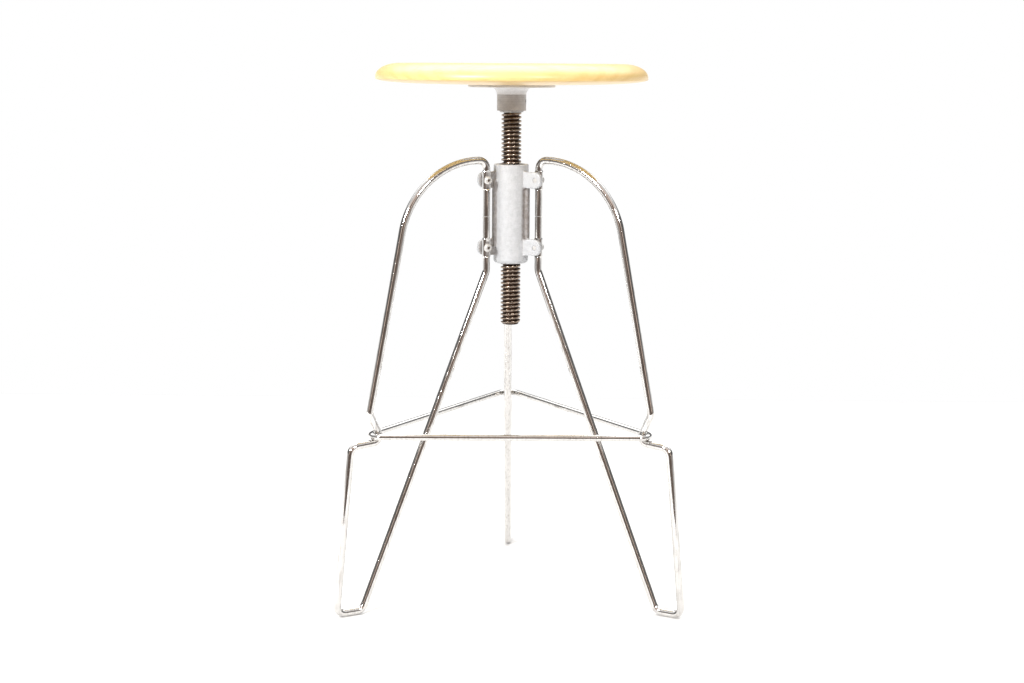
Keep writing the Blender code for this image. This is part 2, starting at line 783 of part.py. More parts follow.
def clamp_hole(name, tools):
    """Cutter for the hole through a rod's flat."""
    low = EAR_FACE - CUT_OVERRUN
    high = FLAT_OUTSIDE + CUT_OVERRUN
    return cylinder(name, CLAMP_HOLE_DIAMETER, low, high, SCREW_STEPS, tools)


def leg_mesh(parts, tools):
    """One leg in its own plane: X away from the spindle, Y across the plane."""
    path = rounded_path(leg_corners())
    points = [(point.x, ROD_OFFSET, point.y) for point in path]
    leg = as_mesh(rod("leg", points, ROD_DIAMETER, False, parts), parts)
    press_flats(leg.data)
    for name, height in EAR_HEIGHTS.items():
        hole = clamp_hole(f"leg_hole_{name}", tools)
        hole.matrix_world = clamp_place(height)
        combine(leg, hole, "DIFFERENCE")
    mesh = mesh_of(leg)
    bpy.data.objects.remove(leg)
    return mesh


def press_flats(mesh):
    """Press the clamp run of a leg flat beside each ear."""
    half = FLAT_THICKNESS / 2
    core = FLAT_LENGTH / 2 - FLAT_BLEND / 2
    for vert in mesh.vertices:
        across = vert.co.x - CLAMP_RADIUS
        beside = vert.co.y - ROD_OFFSET
        near_ear = any(abs(vert.co.z - height) < core for height in EAR_HEIGHTS.values())
        if near_ear and abs(across) < ROD_DIAMETER:
            vert.co.x = CLAMP_RADIUS + across * FLAT_WIDTH / ROD_DIAMETER
            vert.co.y = ROD_OFFSET + max(-half, min(half, beside))


def build_legs(parts, tools):
    """Three alike legs, spaced evenly around the hub."""
    mesh = leg_mesh(parts, tools)
    chrome = new_material("leg_chrome", (0.75, 0.74, 0.73), 0.12, 1)
    legs = []
    for index in range(LEG_COUNT):
        leg = add_object(f"leg_{LEG_NAMES[index]}", mesh, parts, chrome)
        leg.rotation_euler.z = leg_angle(index)
        legs.append(smooth(leg))
    return legs


def clamp_screw_mesh(parts, tools):
    """Button-head screw on the Z axis, its head up, placed across the leg's plane."""
    seat = FLAT_OUTSIDE + FIT_GAP
    end = EAR_BACK + CLAMP_END_RECESS
    shank = CLAMP_SCREW_DIAMETER / 2
    head = CLAMP_HEAD_DIAMETER / 2
    crown = CLAMP_HEAD_HEIGHT
    land = key_width(CLAMP_KEY) / 2 + FIT_GAP
    dome = []
    for point in arc((0, 0), 1, math.pi / 2, 0, DOME_STEP):
        dome.append((land + (head - land) * point.x, seat + crown * point.y))
    profile = [(0, seat + crown), *dome, (shank, seat), (shank, end), (0, end)]
    made = turned("clamp_screw", profile, SCREW_STEPS, parts)
    key = cylinder(
        "clamp_key",
        key_width(CLAMP_KEY),
        seat + crown - CLAMP_KEY_DEPTH,
        seat + crown + CUT_OVERRUN,
        HEX_SIDES,
        tools,
    )
    combine(made, key, "DIFFERENCE")
    mesh = mesh_of(made)
    bpy.data.objects.remove(made)
    return mesh


def build_clamp_screws(parts, tools):
    """Two clamp screws for each leg."""
    mesh = clamp_screw_mesh(parts, tools)
    steel = new_material("clamp_screw_steel", (0.8, 0.79, 0.77), 0.2, 1)
    screws = []
    for index in range(LEG_COUNT):
        for name, height in EAR_HEIGHTS.items():
            screw = add_object(f"clamp_screw_{LEG_NAMES[index]}_{name}", mesh, parts, steel)
            screw.matrix_world = Matrix.Rotation(leg_angle(index), 4, "Z") @ clamp_place(height)
            screws.append(smooth(screw))
    return screws


def build_footrest(parts):
    """Triangular rod ring that lies in the notches of the legs."""
    points = [(point.x, point.y, FOOTREST_HEIGHT) for point in footrest_path()]
    chrome = new_material("footrest_chrome", (0.75, 0.74, 0.73), 0.12, 1)
    return rod("footrest_ring", points, FOOTREST_ROD_DIAMETER, True, parts, chrome)


# Assembly

def axis_place():
    """Where the spindle axis stands, so that the origin lies under the middle of the stool's box."""
    reach = max(point.x for point in rounded_path(leg_corners())) + ROD_RADIUS
    forward = max(-math.sin(leg_angle(index)) for index in range(LEG_COUNT))
    front = max(SEAT_DIAMETER / 2, reach * forward + ROD_OFFSET + ROD_RADIUS)
    return Vector((-ROD_OFFSET / 2, (front - reach) / 2, 0))


def add_empty(name, location, collection, parent=None):
    """An empty that carries a group of pieces."""
    empty = add_object(name, None, collection)
    empty.location = location
    if parent:
        empty.parent = parent
    return empty


def carry(pieces, parent, offset):
    """Parent pieces, given in the frame of the spindle axis, to an empty at an offset on that axis."""
    for piece in pieces:
        piece.parent = parent
        piece.matrix_parent_inverse = Matrix.Translation(-offset)


def build_stool():
    """Build every piece and hang it on the empty that carries it."""
    clear_scene()
    parts = new_collection("bar_stool")
    tools = new_collection("cutters")
    root = add_empty("stool_axis", axis_place(), parts)
    pivot = Vector((0, 0, BOSS_BOTTOM))
    lift = add_empty("seat_lift", pivot, parts, root)
    turn = add_empty("seat_turn", Vector((0, 0, 0)), parts, lift)
    turning = [
        build_seat(parts, tools),
        build_seat_plate(parts, tools),
        build_set_screw(parts, tools),
        build_spindle(parts, tools),
        *build_seat_screws(parts, tools),
    ]
    standing = [
        build_hub(parts, tools),
        build_bush("upper_bush", HUB_TOP - BUSH_RECESS - BUSH_LENGTH, parts, tools),
        build_bush("lower_bush", HUB_BOTTOM + BUSH_RECESS, parts, tools),
        *build_legs(parts, tools),
        *build_clamp_screws(parts, tools),
        build_footrest(parts),
    ]
    carry(turning, turn, pivot)
    carry([build_washer(parts)], lift, pivot)
    carry([*standing, *tools.objects], root, Vector((0, 0, 0)))
    bpy.context.view_layer.update()


build_stool()
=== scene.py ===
"""Looks of a screw-adjustable bar stool, built around its packed solids.

Every piece is made around the spindle axis, with heights above the floor, and is then set on that axis.
"""

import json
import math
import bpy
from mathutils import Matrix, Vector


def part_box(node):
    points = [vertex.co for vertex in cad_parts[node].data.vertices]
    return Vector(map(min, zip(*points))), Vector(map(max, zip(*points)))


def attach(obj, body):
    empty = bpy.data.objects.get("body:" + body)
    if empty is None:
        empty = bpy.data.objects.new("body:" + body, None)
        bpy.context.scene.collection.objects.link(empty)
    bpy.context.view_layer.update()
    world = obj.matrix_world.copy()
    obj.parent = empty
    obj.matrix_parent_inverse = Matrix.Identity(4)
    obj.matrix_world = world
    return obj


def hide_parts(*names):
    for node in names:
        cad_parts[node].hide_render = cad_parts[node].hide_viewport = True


bl_info = {
    "name": "Screw bar stool",
    "version": (1, 0, 0),
    "blender": (4, 5, 0),
    "location": "View3D > Sidebar > Stool",
    "description": "Dresses the solids of a screw-adjustable bar stool",
    "category": "Add Mesh",
}

import bmesh
import bpy
from bpy.props import FloatProperty, FloatVectorProperty, PointerProperty
from bpy.types import NodeSocket, Operator, Panel, PropertyGroup
from mathutils import Matrix, Vector

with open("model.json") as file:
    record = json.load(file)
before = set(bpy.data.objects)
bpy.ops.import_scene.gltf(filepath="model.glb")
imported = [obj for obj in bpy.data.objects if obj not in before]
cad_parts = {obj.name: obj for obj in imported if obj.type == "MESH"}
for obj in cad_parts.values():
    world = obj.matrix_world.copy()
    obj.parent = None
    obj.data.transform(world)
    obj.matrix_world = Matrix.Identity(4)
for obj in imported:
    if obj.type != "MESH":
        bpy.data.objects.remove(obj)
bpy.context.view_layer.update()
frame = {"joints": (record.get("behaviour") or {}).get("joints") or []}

SEAT_SCREWS = ("seat_screw_1", "seat_screw_2", "seat_screw_3", "seat_screw_4")
LEG_NAMES = ("back", "front_left", "front_right")
EAR_NAMES = ("upper", "lower")

TURN = 2 * math.pi
QUARTER = math.pi / 2

# Play between pieces, and how far a cutting tool passes what it cuts
GAP = 0.0003
OVERRUN = 0.003

# Edges sharper than this aren't shaded smooth
SHARP_ANGLE = math.radians(32)

# Fineness of the meshes: steps of bends and rounded edges, then numbers of steps and sides
FINE_STEP = math.radians(3)
ROUND_STEP = math.radians(10)
EDGE_STEP = math.radians(30)
THREAD_EDGE_STEP = math.radians(40)
SEAT_STEPS = 224
TURNED_STEPS = 96
SCREW_STEPS = 48
THREAD_STEPS = 60
FLAT_STEPS = 6
ROD_SIDES = 40
HEX_SIDES = 6

# Small edges of the turned, threaded and bent pieces, in metres
BOSS_STEP = 0.00025
WASHER_EDGE = 0.0003
HEAD_RIM = 0.0006
ROD_CHAMFER = 0.0005
THREAD_ROOT_ROUND = 0.0003
THREAD_CREST_ROUND = 0.00035

# Slope of the thread's flanks, and how squarely a rod is pressed flat
THREAD_FLANK = math.radians(14.5)
FLAT_SQUARENESS = 10

# Shares of the screws' drives: floor of a hexagon socket; depth, floor and arm of a cross recess
SOCKET_FLOOR = 0.4
CROSS_DEPTH = 0.6
CROSS_FLOOR = 0.5
CROSS_ARM = 0.24

# Softening of the casting, and size and depth of its uneven skin
CAST_SOFTNESS = 0.5
CAST_ROUNDS = 3
CAST_LUMPS = 0.006
CAST_DEPTH = 0.00025

# Reach and soft edges of the painted shade beside the hub's ribs, of turned faces and of rubbed places, in
# metres
SHADE_DEPTH = 0.003
SHADE_EDGE = 0.001
SHADE_SHIFT = 0.0025
SHADE_FADE = (0.003, 0.0075)
LATHE_EDGE = 0.00005
RUB_EDGE = 0.0001

# Red, green and blue of rust as shares of the oiled steel's
RUST_SHARES = (2.6, 1.9, 1.4)

# Range of a mask that rises, and of one that falls
RISE = (0.0, 1.0)
FALL = (1.0, 0.0)

# Corners of the studio floor, and place and size of the softbox above it, in metres
FLOOR_CORNER = 0.3
OVERHEAD_PLACE = (0, 0.4, 2.7)
OVERHEAD_SIZE = (2.4, 1.2)

# Limits on how far a direction in the studio's world points back from the camera, or up
SKY_BESIDE = (-1.0, -0.2)
SKY_BEHIND = (-0.15, 0.35)
SKY_RAISED = (0.38, 0.58)
SKY_LOWER = (0.04, 0.16)
CANOPY_BACK = (0.25, 0.45)
CANOPY_RISE = (0.46, 0.58)
STRIP_TOP = (0.36, 0.44)
STRIP_FOOT = (-0.02, 0.04)

# Turn of the light strips from the camera's direction, seen from the stool; fade of their edges; in radians
STRIP_TURN = 0.48
STRIP_EDGE = (0.05, 0.12)


def spindle_axis():
    """Foot of the spindle axis on the floor, from the joint that turns the seat."""
    turn = next(joint for joint in frame["joints"] if joint["name"] == "seat_turn")
    return Vector((turn["pos_m"][0], turn["pos_m"][1], 0))


def low(node):
    """Lowest height of a solid."""
    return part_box(node)[0].z


def high(node):
    """Highest height of a solid."""
    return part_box(node)[1].z


def middle(node):
    """Height of the middle of a solid."""
    return (low(node) + high(node)) / 2


def length(name, description, default):
    """A size property in metres."""
    return FloatProperty(
        name=name, description=description, default=default, min=0, precision=5, unit="LENGTH"
    )


def angle_setting(name, description, default):
    """An angle property in radians."""
    return FloatProperty(name=name, description=description, default=default, subtype="ANGLE")


def brightness(name, description, default):
    """A brightness property."""
    return FloatProperty(name=name, description=description, default=default, min=0)


def wattage(name, description, default):
    """A power property for a light."""
    return FloatProperty(name=name, description=description, default=default, min=0, unit="POWER")


def colour(name, description, default):
    """A colour property."""
    return FloatVectorProperty(
        name=name, description=description, default=default, min=0, max=1, size=3, subtype="COLOR"
    )


# Sizes, colours and stage


class SeatSizes(PropertyGroup):
    """Sizes of the wooden seat."""

    diameter: length("Diameter", "Width of the round seat", 0.343)
    roll_width: length("Roll width", "Width of the rolled top edge", 0.030)
    roll_height: length("Roll height", "Height of the rolled top edge", 0.017)
    relief_height: length("Relief height", "Height by which the underside sweeps up to the rim", 0.0063)
    relief_width: length("Relief width", "Width over which the underside sweeps up", 0.080)


class PlateSizes(PropertyGroup):
    """Sizes of the cast plate under the seat and of its screws."""

    diameter: length("Diameter", "Width of the plate", 0.110)
    thickness: length("Thickness", "Thickness of the plate", 0.0038)
    boss_diameter: length("Boss diameter", "Width of the turned boss", 0.0374)
    boss_flare: length("Boss flare", "Radius of the flare between boss and plate", 0.0088)
    journal: length("Journal", "Width of the spindle's plain end", 0.018)
    edge: length("Edge", "Radius of the plate's cast edges", 0.0008)
    screw_diameter: length("Screw diameter", "Width of the seat screws", 0.0042)
    screw_head: length("Screw head", "Width of the seat screws' countersunk heads", 0.0086)
    screw_sink: length("Screw sink", "Width of the countersinks in the plate", 0.0095)
    screw_cross: length("Screw cross", "Width of the driver recess in the seat screws", 0.0046)
    grub_diameter: length("Grub screw", "Width of the grub screw", 0.006)
    grub_height: length("Grub height", "Height of the grub screw above the boss's end", 0.012)
    grub_angle: angle_setting("Grub angle", "Direction of the grub screw", math.radians(-8))


class SpindleSizes(PropertyGroup):
    """Sizes of the trapezoidal spindle."""

    diameter: length("Diameter", "Width over the thread's crests", 0.0254)
    pitch: length("Pitch", "Rise of one turn of the thread", 0.00508)
    depth: length("Depth", "Depth of the thread", 0.00279)
    crest: length("Crest", "Width of the thread's crest", 0.00188)
    chamfer: length("Chamfer", "Chamfer of the lower end", 0.003)
    play: length("Play", "Radial play of the thread in its bushes", 0.0009)


class HubSizes(PropertyGroup):
    """Sizes of the cast hub, its ears and its bushes."""

    diameter: length("Diameter", "Width of the barrel", 0.0445)
    bore: length("Bore", "Width of the bore", 0.0284)
    top_edge: length("Top edge", "Chamfer of the machined top", 0.001)
    foot_round: length("Foot round", "Radius of the barrel's lower edge", 0.005)
    bush_diameter: length("Bush diameter", "Width of the threaded bushes", 0.031)
    ear_height: length("Ear height", "Height of an ear", 0.0205)
    ear_thickness: length("Ear thickness", "Thickness of an ear", 0.007)
    ear_reach: length("Ear reach", "Distance of an ear's end from the spindle", 0.0460)
    ear_round: length("Ear round", "Radius of an ear's outer corners", 0.009)
    ear_root: length("Ear root", "Radius of the fillet between an ear and the barrel", 0.004)
    ear_grip: length("Ear grip", "Depth of an ear's root in the barrel", 0.0008)
    rib_reach: length("Rib reach", "Distance of the rib's edge from the spindle", 0.0262)
    rib_thickness: length("Rib thickness", "Thickness of the rib between two ears", 0.006)
    cast_grain: length("Cast grain", "Edge length of the casting's mesh", 0.0008)


class LegSizes(PropertyGroup):
    """Sizes of the bent legs and their clamp screws."""

    rod: length("Rod", "Width of the rod", 0.009525)
    offset: length("Offset", "Distance of the rod's plane from the spindle", 0.0045)
    clamp_radius: length("Clamp radius", "Distance of the clamped run from the spindle", 0.0381)
    crown_rise: length("Crown rise", "Height of the crown above the hub", 0.0057)
    crown_bend: length("Crown bend", "Bend between clamped run and crown", 0.011)
    crown_flat: length("Crown flat", "Level length of the crown", 0.001)
    shoulder_bend: length("Shoulder bend", "Bend of the shoulder", 0.108)
    notch_top_out: length("Notch top out", "Distance of the notch's top beyond the footrest", 0.0035)
    notch_top_rise: length("Notch top rise", "Height of the notch's top above the footrest", 0.0295)
    notch_foot_out: length("Notch foot out", "Distance of the notch's foot beyond the footrest", 0.0290)
    notch_foot_drop: length("Notch foot drop", "Depth of the notch's foot below the footrest", 0.0115)
    notch_bend: length("Notch bend", "Bends at the ends of the notch", 0.011)
    foot_outer: length("Foot outer", "Distance of the foot's outer corner from the spindle", 0.2485)
    foot_inner: length("Foot inner", "Distance of the foot's inner corner from the spindle", 0.2135)
    foot_outer_bend: length("Foot outer bend", "Bend of the foot's outer corner", 0.0095)
    foot_inner_bend: length("Foot inner bend", "Bend of the foot's inner corner", 0.012)
    knee_drop: length("Knee drop", "Depth of the knee below the hub", 0.0085)
    knee_bend: length("Knee bend", "Bend of the knee", 0.020)
    seam_drop: length("Seam drop", "Depth of the seam between the rod's ends, below the hub's top", 0.0647)
    flat_length: length("Flat length", "Length of a pressed flat", 0.025)
    flat_blend: length("Flat blend", "Length over which the rod goes flat", 0.002)
    flat_width: length("Flat width", "Width of a pressed flat", 0.0112)
    flat_thickness: length("Flat thickness", "Thickness of a pressed flat", 0.007)
    screw_diameter: length("Screw diameter", "Width of the clamp screws", 0.006)
    screw_head: length("Screw head", "Width of the clamp screws' button heads", 0.0105)
    screw_head_height: length("Head height", "Height of the button heads", 0.0033)
    screw_key: length("Screw key", "Width of the heads' hexagon sockets", 0.004)


class FootrestSizes(PropertyGroup):
    """Sizes of the triangular footrest ring."""

    rod: length("Rod", "Width of the ring's rod", 0.00794)
    height: length("Height", "Height of the ring's middle", 0.2265)
    reach: length("Reach", "Distance of a corner from the spindle", 0.198)
    bend: length("Bend", "Bend of the corners", 0.014)


class FinishColours(PropertyGroup):
    """Colours of the finishes."""

    wood_light: colour("Wood light", "Early wood under the lacquer", (0.73, 0.52, 0.205))
    wood_dark: colour("Wood dark", "Late wood under the lacquer", (0.65, 0.43, 0.14))
    chrome: colour("Chrome", "Plated rods", (0.70, 0.69, 0.675))
    chrome_pit: colour("Chrome pit", "Pits and stains in the plating", (0.22, 0.19, 0.17))
    cast_light: colour("Cast light", "Bright skin of the hub", (0.525, 0.535, 0.55))
    cast_dark: colour("Cast dark", "Grey mottling of the hub", (0.39, 0.40, 0.41))
    plate_light: colour("Plate light", "Bright skin of the seat plate", (0.74, 0.73, 0.72))
    plate_dark: colour("Plate dark", "Grey mottling of the seat plate", (0.60, 0.59, 0.58))
    machined: colour("Machined", "Turned faces", (0.57, 0.535, 0.51))
    spindle_valley: colour("Spindle valley", "Oiled steel between the crests", (0.046, 0.027, 0.018))
    spindle_crest: colour("Spindle crest", "Rubbed steel on the crests", (0.44, 0.355, 0.285))
    # Painted shade: darkens the hollows of the castings and screws, and the hub along its ribs
    painted_shade: colour("Painted shade", "Dirt in the hollows of castings and screws", (0.11, 0.08, 0.06))
    bronze: colour("Bronze", "Tarnished bushes", (0.21, 0.145, 0.08))
    zinc: colour("Zinc", "Plated screws and washer", (0.60, 0.59, 0.57))
    black: colour("Black", "Blackened steel", (0.022, 0.021, 0.021))
    floor: colour("Floor", "Pale studio floor", (0.74, 0.737, 0.73))


class StageSettings(PropertyGroup):
    """Light and camera of the studio."""

    camera_place: FloatVectorProperty(
        name="Camera place",
        description="Place of the camera from the foot of the spindle axis",
        default=(0.0024, -2.2315, 0.6904),
        size=3,
        subtype="TRANSLATION",
        unit="LENGTH",
    )
    camera_turn: angle_setting("Camera turn", "Turn of the camera about the spindle axis", 0.011)
    camera_pitch: angle_setting("Camera pitch", "Downward tilt of the camera", 0.16)
    camera_roll: angle_setting("Camera roll", "Roll of the camera", 0.0063)
    lens: FloatProperty(
        name="Lens", description="Focal length of the camera", default=61.65, min=1, unit="CAMERA"
    )
    back_level: brightness("Back level", "Brightness of the backdrop", 1.35)
    canopy_level: brightness("Canopy level", "Brightness high up behind the stool", 3.0)
    side_level: brightness("Side level", "Brightness of the sides", 0.68)
    upper_level: brightness("Upper level", "Brightness high up in the room", 0.90)
    front_level: brightness("Front level", "Brightness of the room behind the camera", 0.17)
    strip_level: brightness("Strip level", "Brightness of the upright strips beside the camera", 1.3)
    front_tint: colour("Front tint", "Colour of the room behind the camera", (1.0, 0.78, 0.66))
    floor_front: length("Floor front", "Distance of the floor's front edge from the spindle", 0.92)
    floor_back: length("Floor back", "Distance of the floor's back edge from the spindle", 1.3)
    floor_width: length("Floor width", "Width of the floor", 4.0)
    overhead_power: wattage("Overhead power", "Power of the overhead softbox", 30)
    left_power: wattage("Left power", "Power of the softbox on the left", 100)
    left_turn: angle_setting("Left turn", "Direction of the softbox on the left", math.radians(-35))
    right_power: wattage("Right power", "Power of the softbox on the right", 35)
    right_turn: angle_setting("Right turn", "Direction of the softbox on the right", math.radians(25))
    softbox_size: length("Softbox size", "Width of the front softboxes", 0.5)
    softbox_distance: length("Softbox distance", "Distance of the front softboxes from the hub", 3.0)
    softbox_rise: angle_setting("Softbox rise", "Elevation of the front softboxes", math.radians(25))


# Plane geometry


def arc(centre, radius, start, end, step=ROUND_STEP):
    """Points along an arc, both ends included."""
    count = max(2, math.ceil(abs(end - start) / step))
    points = []
    for index in range(count + 1):
        angle = start + (end - start) * index / count
        points.append(Vector((centre[0] + radius * math.cos(angle), centre[1] + radius * math.sin(angle))))
    return points


def bend(before, corner, after, radius, step):
    """The arc that rounds one corner of a path."""
    back = (before - corner).normalized()
    ahead = (after - corner).normalized()
    half = back.angle(ahead) / 2
    centre = corner + (back + ahead).normalized() * (radius / math.sin(half))
    first = corner + back * (radius / math.tan(half)) - centre
    last = corner + ahead * (radius / math.tan(half)) - centre
    start = math.atan2(first.y, first.x)
    turn = math.atan2(first.x * last.y - first.y * last.x, first.dot(last))
    return arc(centre, radius, start, start + turn, step)


def rounded_path(corners, closed=False, step=ROUND_STEP):
    """A path through corners given as (point, bend radius); a radius of 0 keeps the point."""
    points = []
    count = len(corners)
    for index, (corner, radius) in enumerate(corners):
        corner = Vector(corner)
        if not radius:
            points.append(corner)
            continue
        before = Vector(corners[(index - 1) % count][0]) if closed or index else corner
        after = Vector(corners[(index + 1) % count][0])
        points.extend(bend(before, corner, after, radius, step))
    return points


def meeting_point(first, first_way, second, second_way):
    """Where two lines meet, each given by a point and a direction."""
    cross = first_way.x * second_way.y - first_way.y * second_way.x
    apart = second - first
    return first + first_way * ((apart.x * second_way.y - apart.y * second_way.x) / cross)


def tangent_way(point, centre, radius, side):
    """Direction from a point along the line that grazes a circle, on its left (1) or right (-1) side."""
    ahead = centre - point
    slant = math.asin(radius / ahead.length)
    return (Matrix.Rotation(side * slant, 2) @ ahead).normalized()


def ease(share):
    """A smooth step from 0 to 1."""
    share = max(0, min(1, share))
    return share * share * (3 - 2 * share)


# Meshes


def mesh_from(name, shape):
    """A mesh from a bmesh, with its normals outward."""
    bmesh.ops.recalc_face_normals(shape, faces=shape.faces)
    mesh = bpy.data.meshes.new(name)
    shape.to_mesh(mesh)
    shape.free()
    return mesh


def loose(name, mesh):
    """A new object at the origin."""
    made = bpy.data.objects.new(name, mesh)
    bpy.context.scene.collection.objects.link(made)
    return made


def bridge(shape, first, second):
    """Faces between two rings of points, either of which may be a single point."""
    count = max(len(first), len(second))
    for index in range(count):
        following = (index + 1) % count
        corners = [first[index % len(first)], first[following % len(first)]]
        corners += [second[following % len(second)], second[index % len(second)]]
        shape.faces.new(dict.fromkeys(corners))


def turned(name, profile, steps, closed=False):
    """A profile of (radius, height) points turned about Z."""
    shape = bmesh.new()
    rings = []
    for radius, height in profile:
        ring = []
        for step in range(steps if radius > 0 else 1):
            angle = TURN * step / steps
            ring.append(shape.verts.new((radius * math.cos(angle), radius * math.sin(angle), height)))
        rings.append(ring)
    for first, second in zip(rings, rings[1:]):
        bridge(shape, first, second)
    if closed:
        bridge(shape, rings[-1], rings[0])
    return loose(name, mesh_from(name, shape))


def swept(name, path, sections, lay, closed=False):
    """Sections of (outward, aside) points strung along a flat path; lay puts (x, y, aside) into space."""
    shape = bmesh.new()
    rings = []
    last = len(path) - 1
    for index, point in enumerate(path):
        ahead = path[(index + 1) % len(path)] - point if closed or index < last else point - path[last - 1]
        back = point - path[index - 1] if closed or index else ahead
        way = (ahead.normalized() + back.normalized()).normalized()
        outward = Vector((way.y, -way.x))
        ring = []
        for out, aside in sections[index]:
            place = point + outward * out
            ring.append(shape.verts.new(lay(place.x, place.y, aside)))
        rings.append(ring)
    for first, second in zip(rings, rings[1:]):
        bridge(shape, first, second)
    if closed:
        bridge(shape, rings[-1], rings[0])
    else:
        shape.faces.new(rings[0])
        shape.faces.new(rings[-1])
    return loose(name, mesh_from(name, shape))


def round_section(radius):
    """Points of a round rod's section."""
    angles = [TURN * side / ROD_SIDES for side in range(ROD_SIDES)]
    return [(radius * math.cos(angle), radius * math.sin(angle)) for angle in angles]


def slab(name, outline, thickness):
    """A flat outline with a thickness about its own plane, stood upright: X stays, Y becomes Z."""
    shape = bmesh.new()
    rims = []
    for aside in (-thickness / 2, thickness / 2):
        rim = [shape.verts.new((point.x, aside, point.y)) for point in outline]
        shape.faces.new(rim)
        rims.append(rim)
    bridge(shape, rims[0], rims[1])
    return loose(name, mesh_from(name, shape))


def wound(name, profile, pitch, bottom, top):
    """One turn's profile of (radius, share of the pitch), wound right-handed about Z past both heights."""
    first_turn = math.floor(bottom / pitch) - 1
    turns = math.ceil(top / pitch) + 1 - first_turn
    shape = bmesh.new()
    columns = []
    for step in range((turns + 1) * THREAD_STEPS + 1):
        angle = TURN * step / THREAD_STEPS
        base = (first_turn + step / THREAD_STEPS) * pitch
        column = []
        for radius, share in profile:
            place = (radius * math.cos(angle), radius * math.sin(angle), base + share * pitch)
            column.append(shape.verts.new(place))
        columns.append(column)
    for step in range(turns * THREAD_STEPS):
        here = columns[step] + [columns[step + THREAD_STEPS][0]]
        there = columns[step + 1] + [columns[step + 1 + THREAD_STEPS][0]]
        for row in range(len(profile)):
            shape.faces.new((here[row], there[row], there[row + 1], here[row + 1]))
    loners = [vert for vert in shape.verts if not vert.link_faces]
    bmesh.ops.delete(shape, geom=loners, context="VERTS")
    halfway = (first_turn + turns / 2) * pitch
    rims = [edge for edge in shape.edges if edge.is_boundary]
    for above in (False, True):
        rim = [edge for edge in rims if (edge.verts[0].co.z > halfway) == above]
        heart = shape.verts.new((0, 0, sum(edge.verts[0].co.z for edge in rim) / len(rim)))
        for edge in rim:
            shape.faces.new((*edge.verts, heart))
    return loose(name, mesh_from(name, shape))


def settle(piece):
    """Apply a piece's modifiers to its mesh."""
    bpy.context.view_layer.update()
    graph = bpy.context.evaluated_depsgraph_get()
    mesh = bpy.data.meshes.new_from_object(piece.evaluated_get(graph))
    piece.modifiers.clear()
    piece.data = mesh
    return piece


def combine(piece, tool, operation):
    """Cut a piece with a tool, join the tool to it, or keep what they share, and put the tool away."""
    change = piece.modifiers.new("Combine", "BOOLEAN")
    change.operation = operation
    change.solver = "MANIFOLD"
    change.object = tool
    settle(piece)
    bpy.data.objects.remove(tool)
    if not piece.data.polygons:
        raise RuntimeError(f"nothing is left of {piece.name}")
    return piece


def drill(piece, diameter, bottom, top, place=None, sides=SCREW_STEPS):
    """Cut a straight hole between two heights of a frame given by its matrix."""
    radius = diameter / 2
    bit = turned("bit", [(0, top), (radius, top), (radius, bottom), (0, bottom)], sides)
    bit.matrix_world = place or Matrix.Identity(4)
    return combine(piece, bit, "DIFFERENCE")


def dress(piece, material, nodes, body, place=None):
    """Set a finished piece on the spindle axis in the place of its solids, and give it its finish."""
    piece.matrix_world = Matrix.Translation(spindle_axis()) @ (place or Matrix.Identity(4))
    piece.data.materials.clear()
    piece.data.materials.append(material)
    piece.data.shade_smooth()
    piece.data.set_sharp_from_angle(angle=SHARP_ANGLE)
    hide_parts(*nodes)
    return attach(piece, body)


def standing_place(node):
    """Frame of an upright solid: on the floor, below its own middle."""
    lowest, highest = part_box(node)
    place = Matrix.Translation((lowest + highest) / 2 - spindle_axis())
    place.translation.z = 0
    return place


def leg_turn(index):
    """Turn that brings a leg's own plane to its place, the first leg straight back."""
    return Matrix.Rotation(QUARTER + index * TURN / len(LEG_NAMES), 4, "Z")


def ear_heights():
    """Heights of the upper and the lower ears, from the clamp screws in them."""
    return {name: middle(f"clamp_screw_back_{name}") for name in EAR_NAMES}


def clamp_place(legs, height):
    """Frame of a clamp screw in its leg's plane: Z points out of the screw's head."""
    return Matrix.Translation((legs.clamp_radius, 0, height)) @ Matrix.Rotation(-QUARTER, 4, "X")


def hex_width(across_flats):
    """Diameter across the corners of a hexagon."""
    return across_flats / math.cos(math.pi / HEX_SIDES)


# Shader nodes


def add_node(tree, kind, inputs=None, **settings):
    """A node with its settings, and with its inputs set or linked."""
    made = tree.nodes.new(kind)
    for name, value in settings.items():
        setattr(made, name, value)
    for name, value in (inputs or {}).items():
        if isinstance(value, NodeSocket):
            tree.links.new(value, made.inputs[name])
        else:
            made.inputs[name].default_value = value
    return made


def calculate(tree, operation, first, second=0.0):
    """A math node's result."""
    return add_node(tree, "ShaderNodeMath", {0: first, 1: second}, operation=operation).outputs[0]


def times(tree, first, *others):
    """The product of several values."""
    for other in others:
        first = calculate(tree, "MULTIPLY", first, other)
    return first


def plus(tree, first, *others):
    """The sum of several values."""
    for other in others:
        first = calculate(tree, "ADD", first, other)
    return first


def remap(tree, value, limits, onto=RISE):
    """A value's range between two limits, laid smoothly onto another."""
    inputs = {"Value": value, 1: limits[0], 2: limits[1], 3: onto[0], 4: onto[1]}
    return add_node(tree, "ShaderNodeMapRange", inputs, interpolation_type="SMOOTHSTEP").outputs["Result"]


def mix(tree, share, first, second):
    """A colour between two colours."""
    made = add_node(tree, "ShaderNodeMix", {0: share}, data_type="RGBA")
    for slot, value in ((6, first), (7, second)):
        if isinstance(value, NodeSocket):
            tree.links.new(value, made.inputs[slot])
        else:
            made.inputs[slot].default_value = (*value, 1)
    return made.outputs[2]


def between(tree, share, first, second):
    """A value between two values."""
    return add_node(tree, "ShaderNodeMix", {0: share, 2: first, 3: second}).outputs[0]


def noise(tree, vector, scale, detail=3.0, roughness=0.5):
    """A 3-D noise value."""
    inputs = {"Vector": vector, "Scale": scale, "Detail": detail, "Roughness": roughness}
    return add_node(tree, "ShaderNodeTexNoise", inputs).outputs[0]


